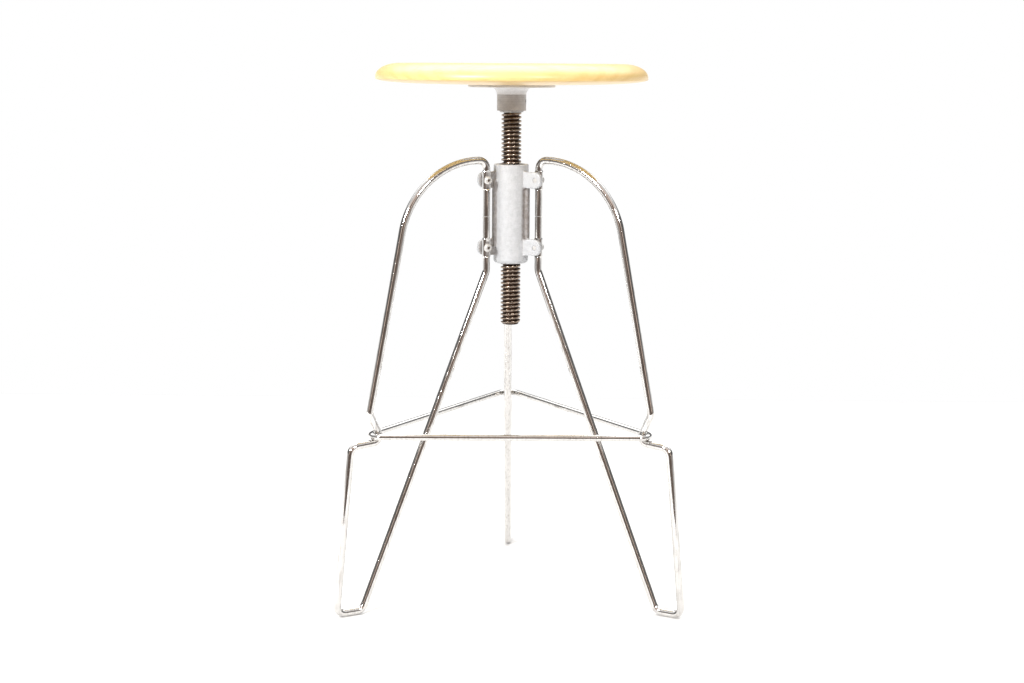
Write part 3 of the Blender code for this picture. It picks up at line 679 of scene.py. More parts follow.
def stretch(tree, vector, scales):
    """Coordinates scaled along each axis."""
    return add_node(tree, "ShaderNodeMapping", {"Vector": vector, "Scale": scales}).outputs[0]


def drawn_noise(tree, vector, scales, detail, roughness=0.5):
    """A noise with a scale of its own along each axis."""
    return noise(tree, stretch(tree, vector, scales), 1.0, detail, roughness)


def object_place(tree):
    """Coordinates on the piece itself, in metres."""
    return add_node(tree, "ShaderNodeTexCoord").outputs["Object"]


def axis_distance(tree, vector):
    """Distance of a point from the piece's own Z axis."""
    flat = stretch(tree, vector, (1, 1, 0))
    return add_node(tree, "ShaderNodeVectorMath", {0: flat}, operation="LENGTH").outputs["Value"]


def height_of(tree, vector):
    """Height of a point in the piece's own frame."""
    return add_node(tree, "ShaderNodeSeparateXYZ", {0: vector}).outputs["Z"]


def bump(tree, height, strength, distance):
    """A normal from a height."""
    inputs = {"Height": height, "Strength": strength, "Distance": distance}
    return add_node(tree, "ShaderNodeBump", inputs).outputs["Normal"]


# Effects, each a shader node group


def pits(tree, given):
    """Small round pits and dull spots, as on worn plating."""
    inputs = {"Vector": given["Vector"], "Scale": given["Scale"]}
    dots = add_node(tree, "ShaderNodeTexVoronoi", inputs).outputs["Distance"]
    spots = remap(tree, dots, (0.08, 0.22), FALL)
    patch_scale = times(tree, given["Scale"], 0.11)
    patches = noise(tree, given["Vector"], patch_scale, detail=4.0, roughness=0.65)
    here = remap(tree, patches, (given["Spread"], plus(tree, given["Spread"], 0.1)))
    mask = times(tree, spots, here)
    return {"Mask": mask, "Height": times(tree, mask, -1.0)}


def cast_skin(tree, given):
    """Grit and mottling of a sand casting."""
    grit = noise(tree, given["Vector"], given["Scale"], detail=5.0, roughness=0.7)
    lump_scale = times(tree, given["Scale"], 0.16)
    lumps = noise(tree, given["Vector"], lump_scale, detail=3.0, roughness=0.6)
    both = plus(tree, times(tree, grit, 0.7), times(tree, lumps, 0.3))
    return {"Tone": remap(tree, both, (0.36, 0.64)), "Height": both}


def turning_rings(tree, given):
    """Fine rings left by a lathe about the piece's own Z axis."""
    along = plus(tree, axis_distance(tree, given["Vector"]), height_of(tree, given["Vector"]))
    inputs = {"W": along, "Scale": given["Scale"], "Detail": 2.0}
    rings = add_node(tree, "ShaderNodeTexNoise", inputs, noise_dimensions="1D").outputs[0]
    return {"Tone": remap(tree, rings, (0.35, 0.65)), "Height": rings}


def pointiness(tree, given, onto):
    """How sharp or hollow the surface is, between the group's own limits."""
    edge = add_node(tree, "ShaderNodeNewGeometry").outputs["Pointiness"]
    return remap(tree, edge, (given["Start"], given["End"]), onto)


def edge_wear(tree, given):
    """Rubbed edges, broken up by noise."""
    patches = noise(tree, given["Vector"], scale=420.0, detail=4.0, roughness=0.6)
    broken = remap(tree, patches, (0.3, 0.6))
    return {"Mask": times(tree, pointiness(tree, given, RISE), broken)}


def painted_hollow_shade(tree, given):
    """Painted shade held in the hollows of a piece, broken up by noise."""
    patches = noise(tree, given["Vector"], scale=380.0, detail=4.0, roughness=0.6)
    broken = remap(tree, patches, (0.2, 0.6), (0.4, 1.0))
    return {"Mask": times(tree, pointiness(tree, given, FALL), broken)}


# How each effect is filled, its inputs beside Vector with their defaults, and its outputs
EFFECTS = {
    "Pits": (pits, {"Scale": 900.0, "Spread": 0.6}, ("Mask", "Height")),
    "Cast skin": (cast_skin, {"Scale": 700.0}, ("Tone", "Height")),
    "Turning rings": (turning_rings, {"Scale": 2500.0}, ("Tone", "Height")),
    "Edge wear": (edge_wear, {"Start": 0.52, "End": 0.6}, ("Mask",)),
    # Painted shade in hollows
    "Painted shade": (painted_hollow_shade, {"Start": 0.44, "End": 0.49}, ("Mask",)),
}


def effect_group(name):
    """The shader node group of an effect, built when it is first used."""
    if name in bpy.data.node_groups:
        return bpy.data.node_groups[name]
    fill, inputs, outputs = EFFECTS[name]
    tree = bpy.data.node_groups.new(name, "ShaderNodeTree")
    tree.interface.new_socket("Vector", in_out="INPUT", socket_type="NodeSocketVector")
    for socket_name, default in inputs.items():
        socket = tree.interface.new_socket(socket_name, in_out="INPUT", socket_type="NodeSocketFloat")
        socket.default_value = default
    for socket_name in outputs:
        tree.interface.new_socket(socket_name, in_out="OUTPUT", socket_type="NodeSocketFloat")
    given = add_node(tree, "NodeGroupInput").outputs
    add_node(tree, "NodeGroupOutput", fill(tree, given))
    return tree


def effect(tree, name, **inputs):
    """An effect placed in a material with its own values."""
    return add_node(tree, "ShaderNodeGroup", inputs, node_tree=effect_group(name)).outputs


# Finishes


def new_finish(name, constants):
    """A material with its Principled shader's fixed values set."""
    material = bpy.data.materials.new(name)
    material.use_nodes = True
    tree = material.node_tree
    shader = tree.nodes["Principled BSDF"]
    for socket, value in constants.items():
        shader.inputs[socket].default_value = value
    return material, tree, shader


def link(tree, shader, **sockets):
    """Link values to the shader; an underscore in a name stands for a space."""
    for name, value in sockets.items():
        tree.links.new(value, shader.inputs[name.replace("_", " ")])


def toned(base, share):
    """A colour darkened or lightened to a share of itself."""
    return tuple(min(1, share * part) for part in base)


def wood_finish(colours):
    """Pale lacquered wood, its grain along X."""
    fixed = {"Coat Weight": 0.8, "Coat Roughness": 0.35, "Coat IOR": 1.5}
    material, tree, shader = new_finish("lacquered_wood", fixed)
    place = object_place(tree)
    inputs = {"Vector": place, "Location": (0.0, 0.045, -0.56), "Scale": (0.22, 1.0, 1.0)}
    heart = add_node(tree, "ShaderNodeMapping", inputs).outputs[0]
    inputs = {"Vector": heart, "Scale": 30.0, "Distortion": 1.6, "Detail": 2.0, "Detail Scale": 1.0}
    wave = add_node(tree, "ShaderNodeTexWave", inputs, wave_type="RINGS", rings_direction="X")
    rings = wave.outputs["Fac"]
    fibres = drawn_noise(tree, place, (14.0, 420.0, 420.0), detail=4.0, roughness=0.6)
    specks = drawn_noise(tree, place, (55.0, 1700.0, 1700.0), detail=2.0)
    tint = drawn_noise(tree, place, (3.0, 16.0, 16.0), detail=2.0)
    pores = remap(tree, specks, (0.60, 0.72))
    late = plus(
        tree,
        times(tree, remap(tree, rings, (0.25, 0.95)), 0.40),
        times(tree, remap(tree, fibres, (0.35, 0.7)), 0.30),
        times(tree, remap(tree, tint, (0.3, 0.7)), 0.25),
    )
    ground = mix(tree, late, colours.wood_light, colours.wood_dark)
    grain = mix(tree, times(tree, pores, 0.35), ground, toned(colours.wood_dark, 0.55))
    rough = remap(tree, fibres, (0.3, 0.7), (0.46, 0.58))
    relief = calculate(tree, "SUBTRACT", times(tree, fibres, 0.4), pores)
    normal = bump(tree, relief, strength=0.12, distance=0.0004)
    link(tree, shader, Base_Color=grain, Roughness=rough, Normal=normal)
    return material


def chrome_finish(colours):
    """Bright plating with pits, dull spots, streaks and a little waviness."""
    material, tree, shader = new_finish("chrome_plating", {"Metallic": 1.0})
    place = object_place(tree)
    spots = effect(tree, "Pits", Vector=place, Scale=820.0, Spread=0.50)
    haze = noise(tree, place, scale=60.0, detail=4.0, roughness=0.6)
    streaks = drawn_noise(tree, place, (520.0, 520.0, 26.0), detail=3.0, roughness=0.55)
    tone = mix(tree, remap(tree, haze, (0.4, 0.75), (0.0, 0.2)), colours.chrome, colours.chrome_pit)
    tone = mix(tree, remap(tree, streaks, (0.48, 0.72), (0.0, 0.45)), tone, colours.chrome_pit)
    tone = mix(tree, times(tree, spots["Mask"], 0.9), tone, colours.chrome_pit)
    dull = remap(tree, haze, (0.35, 0.75), (0.05, 0.12))
    rough = plus(tree, dull, times(tree, spots["Mask"], 0.3))
    waves = noise(tree, place, scale=95.0, detail=2.0)
    height = plus(tree, times(tree, waves, 0.5), times(tree, streaks, 0.35), spots["Height"])
    normal = bump(tree, height, strength=0.14, distance=0.0003)
    link(tree, shader, Base_Color=tone, Roughness=rough, Normal=normal)
    return material


def cast_tone(tree, place, light, dark, shade_tone):
    """Colour and height of a casting's skin, with painted shade in its hollows."""
    skin = effect(tree, "Cast skin", Vector=place, Scale=1050.0)
    wear = effect(tree, "Edge wear", Vector=place, Start=0.53, End=0.60)
    # Painted shade in the casting's hollows
    hollow_shade = effect(tree, "Painted shade", Vector=place)
    tone = mix(tree, skin["Tone"], dark, light)
    tone = mix(tree, times(tree, wear["Mask"], 0.5), tone, light)
    return mix(tree, times(tree, hollow_shade["Mask"], 0.7), tone, shade_tone), skin["Height"]


def painted_clamp_shade(tree, place, hub):
    """Mask of painted shade along the ribs and on the clamped faces of the ears, broken up by noise."""
    parts = add_node(tree, "ShaderNodeSeparateXYZ", {0: place}).outputs
    about = calculate(tree, "SUBTRACT", calculate(tree, "ARCTAN2", parts["Y"], parts["X"]), QUARTER)
    third = TURN / len(LEG_NAMES)
    inputs = {0: about, 1: third / 2, 2: -third / 2}
    from_leg = add_node(tree, "ShaderNodeMath", inputs, operation="WRAP").outputs[0]
    away = axis_distance(tree, place)
    aside = times(tree, away, calculate(tree, "SINE", from_leg))
    ears = ear_heights()
    rib_bottom = ears["lower"] + hub.ear_height / 2
    rib_top = ears["upper"] - hub.ear_height / 2
    above = remap(tree, parts["Z"], (rib_bottom - SHADE_DEPTH, rib_bottom + SHADE_EDGE))
    below = remap(tree, parts["Z"], (rib_top - SHADE_EDGE, rib_top + SHADE_DEPTH), FALL)
    from_rib = calculate(tree, "ABSOLUTE", plus(tree, aside, SHADE_SHIFT))
    beside = remap(tree, from_rib, SHADE_FADE, FALL)
    within = remap(tree, away, (hub.rib_reach, hub.rib_reach + SHADE_EDGE), FALL)
    along = times(tree, above, below, beside, within)
    side = hub.diameter / 2
    clamped = remap(tree, aside, (-SHADE_DEPTH, 0.0))
    faces = times(tree, clamped, remap(tree, away, (side, side + SHADE_EDGE), (0.0, 0.8)))
    patches = noise(tree, place, scale=300.0, detail=4.0, roughness=0.6)
    broken = remap(tree, patches, (0.3, 0.7), (0.50, 0.80))
    return times(tree, calculate(tree, "MAXIMUM", along, faces), broken)


def hub_finish(colours, hub):
    """Sand-cast aluminium, with painted shade where the legs are clamped and in its hollows."""
    material, tree, shader = new_finish("cast_hub", {"Metallic": 0.15})
    place = object_place(tree)
    tone, height = cast_tone(tree, place, colours.cast_light, colours.cast_dark, colours.painted_shade)
    # Painted shade: the hub is darkened along its ribs and on the ears' clamped faces
    tone = mix(tree, painted_clamp_shade(tree, place, hub), tone, colours.painted_shade)
    rough = remap(tree, height, (0.35, 0.65), (0.62, 0.48))
    normal = bump(tree, height, strength=0.5, distance=0.0004)
    link(tree, shader, Base_Color=tone, Roughness=rough, Normal=normal)
    return material


def plate_finish(colours, plate):
    """Sand-cast plate whose boss is turned bright below its flare."""
    material, tree, shader = new_finish("cast_plate", {})
    place = object_place(tree)
    # The plate's skin gets painted shade in its hollows
    tone, height = cast_tone(tree, place, colours.plate_light, colours.plate_dark, colours.painted_shade)
    rings = effect(tree, "Turning rings", Vector=place, Scale=2600.0)
    stain = noise(tree, place, scale=230.0, detail=4.0, roughness=0.65)
    edge = high("seat_plate") - plate.thickness - plate.boss_flare
    raw = remap(tree, height_of(tree, place), (edge - LATHE_EDGE, edge + LATHE_EDGE))
    dull = toned(colours.machined, 0.55)
    lathe = mix(tree, rings["Tone"], dull, colours.machined)
    lathe = mix(tree, remap(tree, stain, (0.4, 0.7), (0.0, 0.5)), lathe, dull)
    rough = between(tree, raw, 0.48, 0.60)
    metal = remap(tree, raw, RISE, (0.25, 0.2))
    relief = between(tree, raw, rings["Height"], height)
    normal = bump(tree, relief, strength=0.35, distance=0.0003)
    tone = mix(tree, raw, lathe, tone)
    link(tree, shader, Base_Color=tone, Roughness=rough, Metallic=metal, Normal=normal)
    return material


def spindle_finish(colours, spindle):
    """Oiled dark steel, rubbed bright on its crests."""
    material, tree, shader = new_finish("spindle_steel", {"Metallic": 1.0})
    place = object_place(tree)
    crest = spindle.diameter / 2
    rub_limits = (crest - 0.35 * spindle.depth, crest - RUB_EDGE)
    rubbed = remap(tree, axis_distance(tree, place), rub_limits)
    patches = remap(tree, noise(tree, place, scale=240.0, detail=4.0, roughness=0.65), (0.30, 0.62))
    worn = times(tree, rubbed, plus(tree, times(tree, patches, 0.7), 0.3))
    wear = effect(tree, "Edge wear", Vector=place, Start=0.54, End=0.62)
    worn = calculate(tree, "MAXIMUM", worn, times(tree, wear["Mask"], 0.6))
    blotches = noise(tree, place, scale=130.0, detail=5.0, roughness=0.7)
    brown = [share * part for share, part in zip(RUST_SHARES, colours.spindle_valley)]
    oiled = mix(tree, remap(tree, blotches, (0.5, 0.7), (0.0, 0.6)), colours.spindle_valley, brown)
    rings = effect(tree, "Turning rings", Vector=place, Scale=3000.0)
    rough = remap(tree, worn, RISE, (0.42, 0.26))
    tone = mix(tree, worn, oiled, colours.spindle_crest)
    normal = bump(tree, rings["Height"], strength=0.15, distance=0.0002)
    link(tree, shader, Base_Color=tone, Roughness=rough, Normal=normal)
    return material


def zinc_finish(colours):
    """Bright zinc plating with dull spots and painted shade in its hollows."""
    material, tree, shader = new_finish("zinc_plating", {"Metallic": 0.4})
    place = object_place(tree)
    spots = effect(tree, "Pits", Vector=place, Scale=1300.0, Spread=0.48)
    rings = effect(tree, "Turning rings", Vector=place, Scale=3200.0)
    dull = toned(colours.zinc, 0.6)
    haze = noise(tree, place, scale=320.0, detail=4.0, roughness=0.6)
    tone = mix(tree, remap(tree, haze, (0.4, 0.75), (0.0, 0.6)), colours.zinc, dull)
    tone = mix(tree, times(tree, spots["Mask"], 0.6), tone, dull)
    # Painted shade in the screws' hollows and sockets
    tone = mix(tree, effect(tree, "Painted shade", Vector=place)["Mask"], tone, colours.painted_shade)
    rough = remap(tree, haze, (0.35, 0.7), (0.36, 0.50))
    height = plus(tree, times(tree, rings["Height"], 0.3), spots["Height"])
    normal = bump(tree, height, strength=0.15, distance=0.0002)
    link(tree, shader, Base_Color=tone, Roughness=rough, Normal=normal)
    return material


def bronze_finish(colours):
    """Tarnished bronze with lathe rings."""
    material, tree, shader = new_finish("bush_bronze", {"Metallic": 1.0})
    place = object_place(tree)
    rings = effect(tree, "Turning rings", Vector=place, Scale=2400.0)
    patches = noise(tree, place, scale=300.0, detail=4.0, roughness=0.6)
    tarnish = remap(tree, patches, (0.35, 0.65))
    tone = mix(tree, tarnish, colours.bronze, toned(colours.bronze, 0.35))
    rough = remap(tree, tarnish, RISE, (0.3, 0.5))
    normal = bump(tree, rings["Height"], strength=0.2, distance=0.0002)
    link(tree, shader, Base_Color=tone, Roughness=rough, Normal=normal)
    return material


def black_finish(colours):
    """Blackened steel, rubbed at its edges."""
    material, tree, shader = new_finish("black_steel", {"Metallic": 1.0})
    place = object_place(tree)
    spots = effect(tree, "Pits", Vector=place, Scale=1500.0, Spread=0.45)
    wear = effect(tree, "Edge wear", Vector=place, Start=0.54, End=0.64)
    tone = mix(tree, times(tree, wear["Mask"], 0.7), colours.black, toned(colours.black, 6))
    rough = plus(tree, times(tree, spots["Mask"], 0.2), 0.38)
    normal = bump(tree, spots["Height"], strength=0.2, distance=0.0002)
    link(tree, shader, Base_Color=tone, Roughness=rough, Normal=normal)
    return material


def floor_finish(colours):
    """Pale studio floor that doesn't hide the stool from below."""
    material, tree, shader = new_finish("studio_floor", {"Roughness": 0.7, "Specular IOR Level": 0.2})
    cloud = noise(tree, object_place(tree), scale=3.0)
    below = add_node(tree, "ShaderNodeNewGeometry").outputs["Backfacing"]
    solid = calculate(tree, "SUBTRACT", 1.0, below)
    tone = mix(tree, cloud, toned(colours.floor, 0.985), colours.floor)
    link(tree, shader, Base_Color=tone, Alpha=solid)
    return material


def finish_once(name, make, *given):
    """A finish that several operators share."""
    return bpy.data.materials.get(name) or make(*given)


# Operators


class BuildStage(Operator):
    """Lay the studio floor, light it and set up the camera"""

    bl_idname = "stool.build_stage"
    bl_label = "Stage"

    def execute(self, context):
        stage = context.scene.stool_stage
        self.lay_floor(context.scene.stool_colours, stage)
        self.light_world(context.scene, stage)
        hub = spindle_axis() + Vector((0, 0, middle("hub")))
        above = spindle_axis() + Vector(OVERHEAD_PLACE)
        below = Vector((above.x, above.y, 0))
        self.hang_softbox("overhead_softbox", above, below, OVERHEAD_SIZE, stage.overhead_power)
        left = ("left_softbox", stage.left_turn, stage.left_power)
        right = ("right_softbox", stage.right_turn, stage.right_power)
        size = (stage.softbox_size, stage.softbox_size)
        for name, turn, power in (left, right):
            away = Vector((0, -stage.softbox_distance, 0))
            away.rotate(Matrix.Rotation(-stage.softbox_rise, 3, "X"))
            away.rotate(Matrix.Rotation(turn, 3, "Z"))
            self.hang_softbox(name, hub + away, hub, size, power)
        self.set_camera(context.scene, stage)
        context.scene.view_settings.view_transform = "Standard"
        return {"FINISHED"}

    def lay_floor(self, colours, stage):
        """A wide floor with rounded corners that ends in front of the stool."""
        half = stage.floor_width / 2
        near = spindle_axis().y - stage.floor_front
        far = spindle_axis().y + stage.floor_back
        outline = [(-half, near), (half, near), (half, far), (-half, far)]
        corners = [(corner, FLOOR_CORNER) for corner in outline]
        shape = bmesh.new()
        shape.faces.new([shape.verts.new((*point, 0)) for point in rounded_path(corners, closed=True)])
        floor = loose("studio_floor", mesh_from("studio_floor", shape))
        if floor.data.polygons[0].normal.z < 0:
            floor.data.flip_normals()
        floor.data.materials.append(floor_finish(colours))

    def light_world(self, scene, stage):
        """White to the camera; to everything else a bright backdrop, grey sides and a dim room in front."""
        world = bpy.data.worlds.new("studio")
        scene.world = world
        world.use_nodes = True
        tree = world.node_tree
        tree.nodes.clear()
        way = add_node(tree, "ShaderNodeTexCoord").outputs["Generated"]
        parts = add_node(tree, "ShaderNodeSeparateXYZ", {0: way}).outputs
        beside = remap(tree, parts["Y"], SKY_BESIDE)
        behind = remap(tree, parts["Y"], SKY_BEHIND)
        raised = remap(tree, parts["Z"], SKY_RAISED)
        lower = remap(tree, parts["Z"], SKY_LOWER, FALL)
        canopy = times(tree, remap(tree, parts["Y"], CANOPY_BACK), remap(tree, parts["Z"], CANOPY_RISE))
        front = remap(tree, raised, RISE, (stage.front_level, stage.upper_level))
        wall = between(tree, behind, stage.side_level, stage.back_level)
        level = between(tree, times(tree, beside, lower), front, wall)
        level = between(tree, canopy, level, stage.canopy_level)
        level = between(tree, self.light_strips(tree, parts), level, stage.strip_level)
        tint = mix(tree, beside, stage.front_tint, (1, 1, 1))
        seen = add_node(tree, "ShaderNodeBackground", {"Color": (1, 1, 1, 1), "Strength": 1.0})
        room = add_node(tree, "ShaderNodeBackground", {"Color": tint, "Strength": level})
        camera_ray = add_node(tree, "ShaderNodeLightPath").outputs["Is Camera Ray"]
        shaders = {0: camera_ray, 1: room.outputs[0], 2: seen.outputs[0]}
        both = add_node(tree, "ShaderNodeMixShader", shaders)
        add_node(tree, "ShaderNodeOutputWorld", {"Surface": both.outputs[0]})

    def light_strips(self, tree, parts):
        """Mask of the upright strips of light left and right of the camera."""
        forward = times(tree, parts["Y"], -1.0)
        aside = calculate(tree, "ABSOLUTE", calculate(tree, "ARCTAN2", parts["X"], forward))
        off_strip = calculate(tree, "ABSOLUTE", calculate(tree, "SUBTRACT", aside, STRIP_TURN))
        within = remap(tree, off_strip, STRIP_EDGE, FALL)
        below_top = remap(tree, parts["Z"], STRIP_TOP, FALL)
        above_foot = remap(tree, parts["Z"], STRIP_FOOT)
        return times(tree, within, below_top, above_foot)

    def hang_softbox(self, name, place, aim, size, power):
        """A rectangular area light that the camera doesn't see."""
        light = bpy.data.lights.new(name, "AREA")
        light.shape = "RECTANGLE"
        light.size = size[0]
        light.size_y = size[1]
        light.energy = power
        box = loose(name, light)
        box.location = place
        box.rotation_euler = (aim - place).to_track_quat("-Z", "Y").to_euler()
        box.visible_camera = False

    def set_camera(self, scene, stage):
        """The camera at the photograph's viewing angle."""
        camera = bpy.data.cameras.new("camera")
        camera.lens = stage.lens
        seen = loose("camera", camera)
        tilt = Matrix.Rotation(QUARTER - stage.camera_pitch, 4, "X")
        aim = tilt @ Matrix.Rotation(stage.camera_roll, 4, "Z")
        place = Matrix.Rotation(stage.camera_turn, 4, "Z") @ Matrix.Translation(stage.camera_place)
        seen.matrix_world = Matrix.Translation(spindle_axis()) @ place @ aim
        scene.camera = seen


class BuildSeat(Operator):
    """Turn the round wooden seat"""

    bl_idname = "stool.build_seat"
    bl_label = "Seat"

    def execute(self, context):
        seat = context.scene.stool_seat
        plate = context.scene.stool_plate
        top = high("seat")
        bottom = low("seat")
        rim = seat.diameter / 2
        crease = bottom + seat.relief_height
        roll = []
        for point in arc((0, 0), 1, QUARTER, 0, FINE_STEP):
            inward = seat.roll_width * (1 - point.x)
            roll.append((rim - inward, top - seat.roll_height * (1 - point.y)))
        sweep = []
        for point in arc((0, 0), 1, 0, -QUARTER, FINE_STEP)[1:]:
            sweep.append((rim - seat.relief_width * (1 - point.x), crease + seat.relief_height * point.y))
        profile = [(0, top), *roll, (rim, crease), *sweep, (0, bottom)]
        piece = turned("wooden_seat", profile, SEAT_STEPS)
        width = plate.screw_diameter + 2 * GAP
        for node in SEAT_SCREWS:
            drill(piece, width, bottom - OVERRUN, high(node) + GAP, standing_place(node))
        dress(piece, wood_finish(context.scene.stool_colours), ["seat"], "seat")
        return {"FINISHED"}


class BuildPlate(Operator):
    """Cast the plate under the seat, with its turned boss"""

    bl_idname = "stool.build_plate"
    bl_label = "Seat plate"

    def execute(self, context):
        plate = context.scene.stool_plate
        top = high("seat_plate")
        under = top - plate.thickness
        bottom = low("seat_plate")
        rim = plate.diameter / 2
        side = plate.boss_diameter / 2
        neck = under - plate.boss_flare
        flare = arc((side + plate.boss_flare, neck), plate.boss_flare, QUARTER, math.pi, FINE_STEP)
        corners = [((0, top), 0), ((rim, top), plate.edge), ((rim, under), plate.edge)]
        profile = [*rounded_path(corners), *flare[:-1], (side, neck), (side - BOSS_STEP, neck - BOSS_STEP)]
        profile += [(side - BOSS_STEP, bottom + 2 * BOSS_STEP), (side - 3 * BOSS_STEP, bottom), (0, bottom)]
        piece = turned("seat_plate_casting", profile, TURNED_STEPS)
        bore_top = high("spindle") + GAP
        drill(piece, plate.journal + 2 * GAP, bottom - OVERRUN, bore_top, sides=TURNED_STEPS)
        shank = plate.screw_diameter / 2 + GAP
        sink = plate.screw_sink / 2
        hole = [(0, top + OVERRUN), (shank, top + OVERRUN), (shank, under + sink - shank)]
        hole += [(sink + OVERRUN, under - OVERRUN), (0, under - OVERRUN)]
        for node in SEAT_SCREWS:
            countersink = turned("countersink", hole, SCREW_STEPS)
            countersink.matrix_world = standing_place(node)
            combine(piece, countersink, "DIFFERENCE")
        drill(piece, plate.grub_diameter + 2 * GAP, 0, plate.boss_diameter, grub_place(plate))
        finish = plate_finish(context.scene.stool_colours, plate)
        dress(piece, finish, ["seat_plate"], "seat")
        return {"FINISHED"}


def grub_place(plate):
    """Frame of the grub screw: on the spindle axis, its Z pointing out through the boss."""
    lift = Matrix.Translation((0, 0, low("seat_plate") + plate.grub_height))
    return lift @ Matrix.Rotation(plate.grub_angle, 4, "Z") @ Matrix.Rotation(QUARTER, 4, "Y")


class BuildGrubScrew(Operator):
    """Make the headless screw that locks the spindle in the boss"""

    bl_idname = "stool.build_grub_screw"
    bl_label = "Grub screw"

    def execute(self, context):
        plate = context.scene.stool_plate
        tip = plate.journal / 2 + GAP
        end = plate.boss_diameter / 2 - 3 * GAP
        radius = plate.grub_diameter / 2
        lip = 2 * GAP
        profile = [(0, end), (radius - lip, end), (radius, end - lip)]
        profile += [(radius, tip + lip), (radius - lip, tip), (0, tip)]
        piece = turned("grub_screw", profile, SCREW_STEPS)
        drill(piece, hex_width(plate.grub_diameter / 2), (tip + end) / 2, end + OVERRUN, sides=HEX_SIDES)
        finish = black_finish(context.scene.stool_colours)
        dress(piece, finish, ["spindle_set_screw"], "seat", grub_place(plate))
        return {"FINISHED"}


class BuildSeatScrews(Operator):
    """Make the four countersunk screws that hold the plate to the seat"""

    bl_idname = "stool.build_seat_screws"
    bl_label = "Seat screws"

    def execute(self, context):
        plate = context.scene.stool_plate
        head = plate.screw_head / 2
        shank = plate.screw_diameter / 2
        finish = finish_once("zinc_plating", zinc_finish, context.scene.stool_colours)
        for node in SEAT_SCREWS:
            bottom = low(node)
            tip = high(node)
            corners = [((0, tip), 0), ((shank, tip - 2 * shank), GAP)]
            corners += [((shank, bottom + head - shank), GAP), ((head, bottom), GAP / 2), ((0, bottom), 0)]
            piece = turned(f"countersunk_{node}", rounded_path(corners), SCREW_STEPS)
            for turn in (0, QUARTER):
                self.cut_slot(piece, turn, plate.screw_cross, bottom)
            dress(piece, finish, [node], "seat", standing_place(node))
        return {"FINISHED"}

    def cut_slot(self, piece, turn, width, bottom):
        """One arm of the cross recess, tapering to its floor."""
        half = width / 2
        floor = bottom + CROSS_DEPTH * half
        outline = [(-half, bottom - OVERRUN), (half, bottom - OVERRUN), (half, bottom)]
        outline += [(CROSS_FLOOR * half, floor), (-CROSS_FLOOR * half, floor), (-half, bottom)]
        tool = slab("cross_recess", [Vector(point) for point in outline], CROSS_ARM * width)
        tool.rotation_euler.z = turn
        combine(piece, tool, "DIFFERENCE")


class BuildSpindle(Operator):
    """Wind the threaded spindle with its plain journal"""

    bl_idname = "stool.build_spindle"
    bl_label = "Spindle"

    def execute(self, context):
        spindle = context.scene.stool_spindle
        journal = context.scene.stool_plate.journal / 2
        crest = spindle.diameter / 2
        outside = crest + OVERRUN
        top = high("spindle")
        bottom = low("spindle")
        shoulder = low("stop_washer") - GAP
        slope = OVERRUN + spindle.chamfer
        envelope = [(0, top), (journal - GAP, top), (journal, top - GAP), (journal, shoulder)]
        envelope += [(crest - 2 * GAP, shoulder), (outside, shoulder - OVERRUN - 2 * GAP)]
        envelope += [(outside, bottom + slope), (outside - slope, bottom), (0, bottom)]
        profile = thread_profile(crest - spindle.depth, crest, spindle.crest, spindle.pitch)
        piece = wound("threaded_spindle", profile, spindle.pitch, bottom, top)
        combine(piece, turned("spindle_envelope", envelope, TURNED_STEPS), "INTERSECT")
        finish = spindle_finish(context.scene.stool_colours, spindle)
        dress(piece, finish, ["spindle"], "seat")
        return {"FINISHED"}


def thread_profile(root, crest, crest_width, pitch):
    """One turn of a trapezoidal thread with eased corners, as (radius, share of the pitch)."""
    flank = (crest - root) * math.tan(THREAD_FLANK)
    half = crest_width / 2
    # The first and the last point only give the roots their direction
    corners = [
        ((root, -GAP), 0),
        ((root, pitch / 2 - half - flank), THREAD_ROOT_ROUND),
        ((crest, pitch / 2 - half), THREAD_CREST_ROUND),
        ((crest, pitch / 2 + half), THREAD_CREST_ROUND),
        ((root, pitch / 2 + half + flank), THREAD_ROOT_ROUND),
        ((root, pitch + GAP), 0),
    ]
    rounded = rounded_path(corners, step=THREAD_EDGE_STEP)[1:-1]
    return [(root, 0.0), *[(point.x, point.y / pitch) for point in rounded]]


class BuildWasher(Operator):
    """Stamp the washer between boss and spindle"""

    bl_idname = "stool.build_washer"
    bl_label = "Washer"

    def execute(self, context):
        lowest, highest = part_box("stop_washer")
        outer = (highest.x - lowest.x) / 2
        inner = context.scene.stool_plate.journal / 2 + GAP
        section = [(outer, highest.z), (outer, lowest.z), (inner, lowest.z), (inner, highest.z)]
        corners = [(corner, WASHER_EDGE) for corner in section]
        profile = rounded_path(corners, closed=True, step=EDGE_STEP)
        piece = turned("thrust_washer", profile, TURNED_STEPS, closed=True)
        finish = finish_once("zinc_plating", zinc_finish, context.scene.stool_colours)
        dress(piece, finish, ["stop_washer"], "lift")
        return {"FINISHED"}


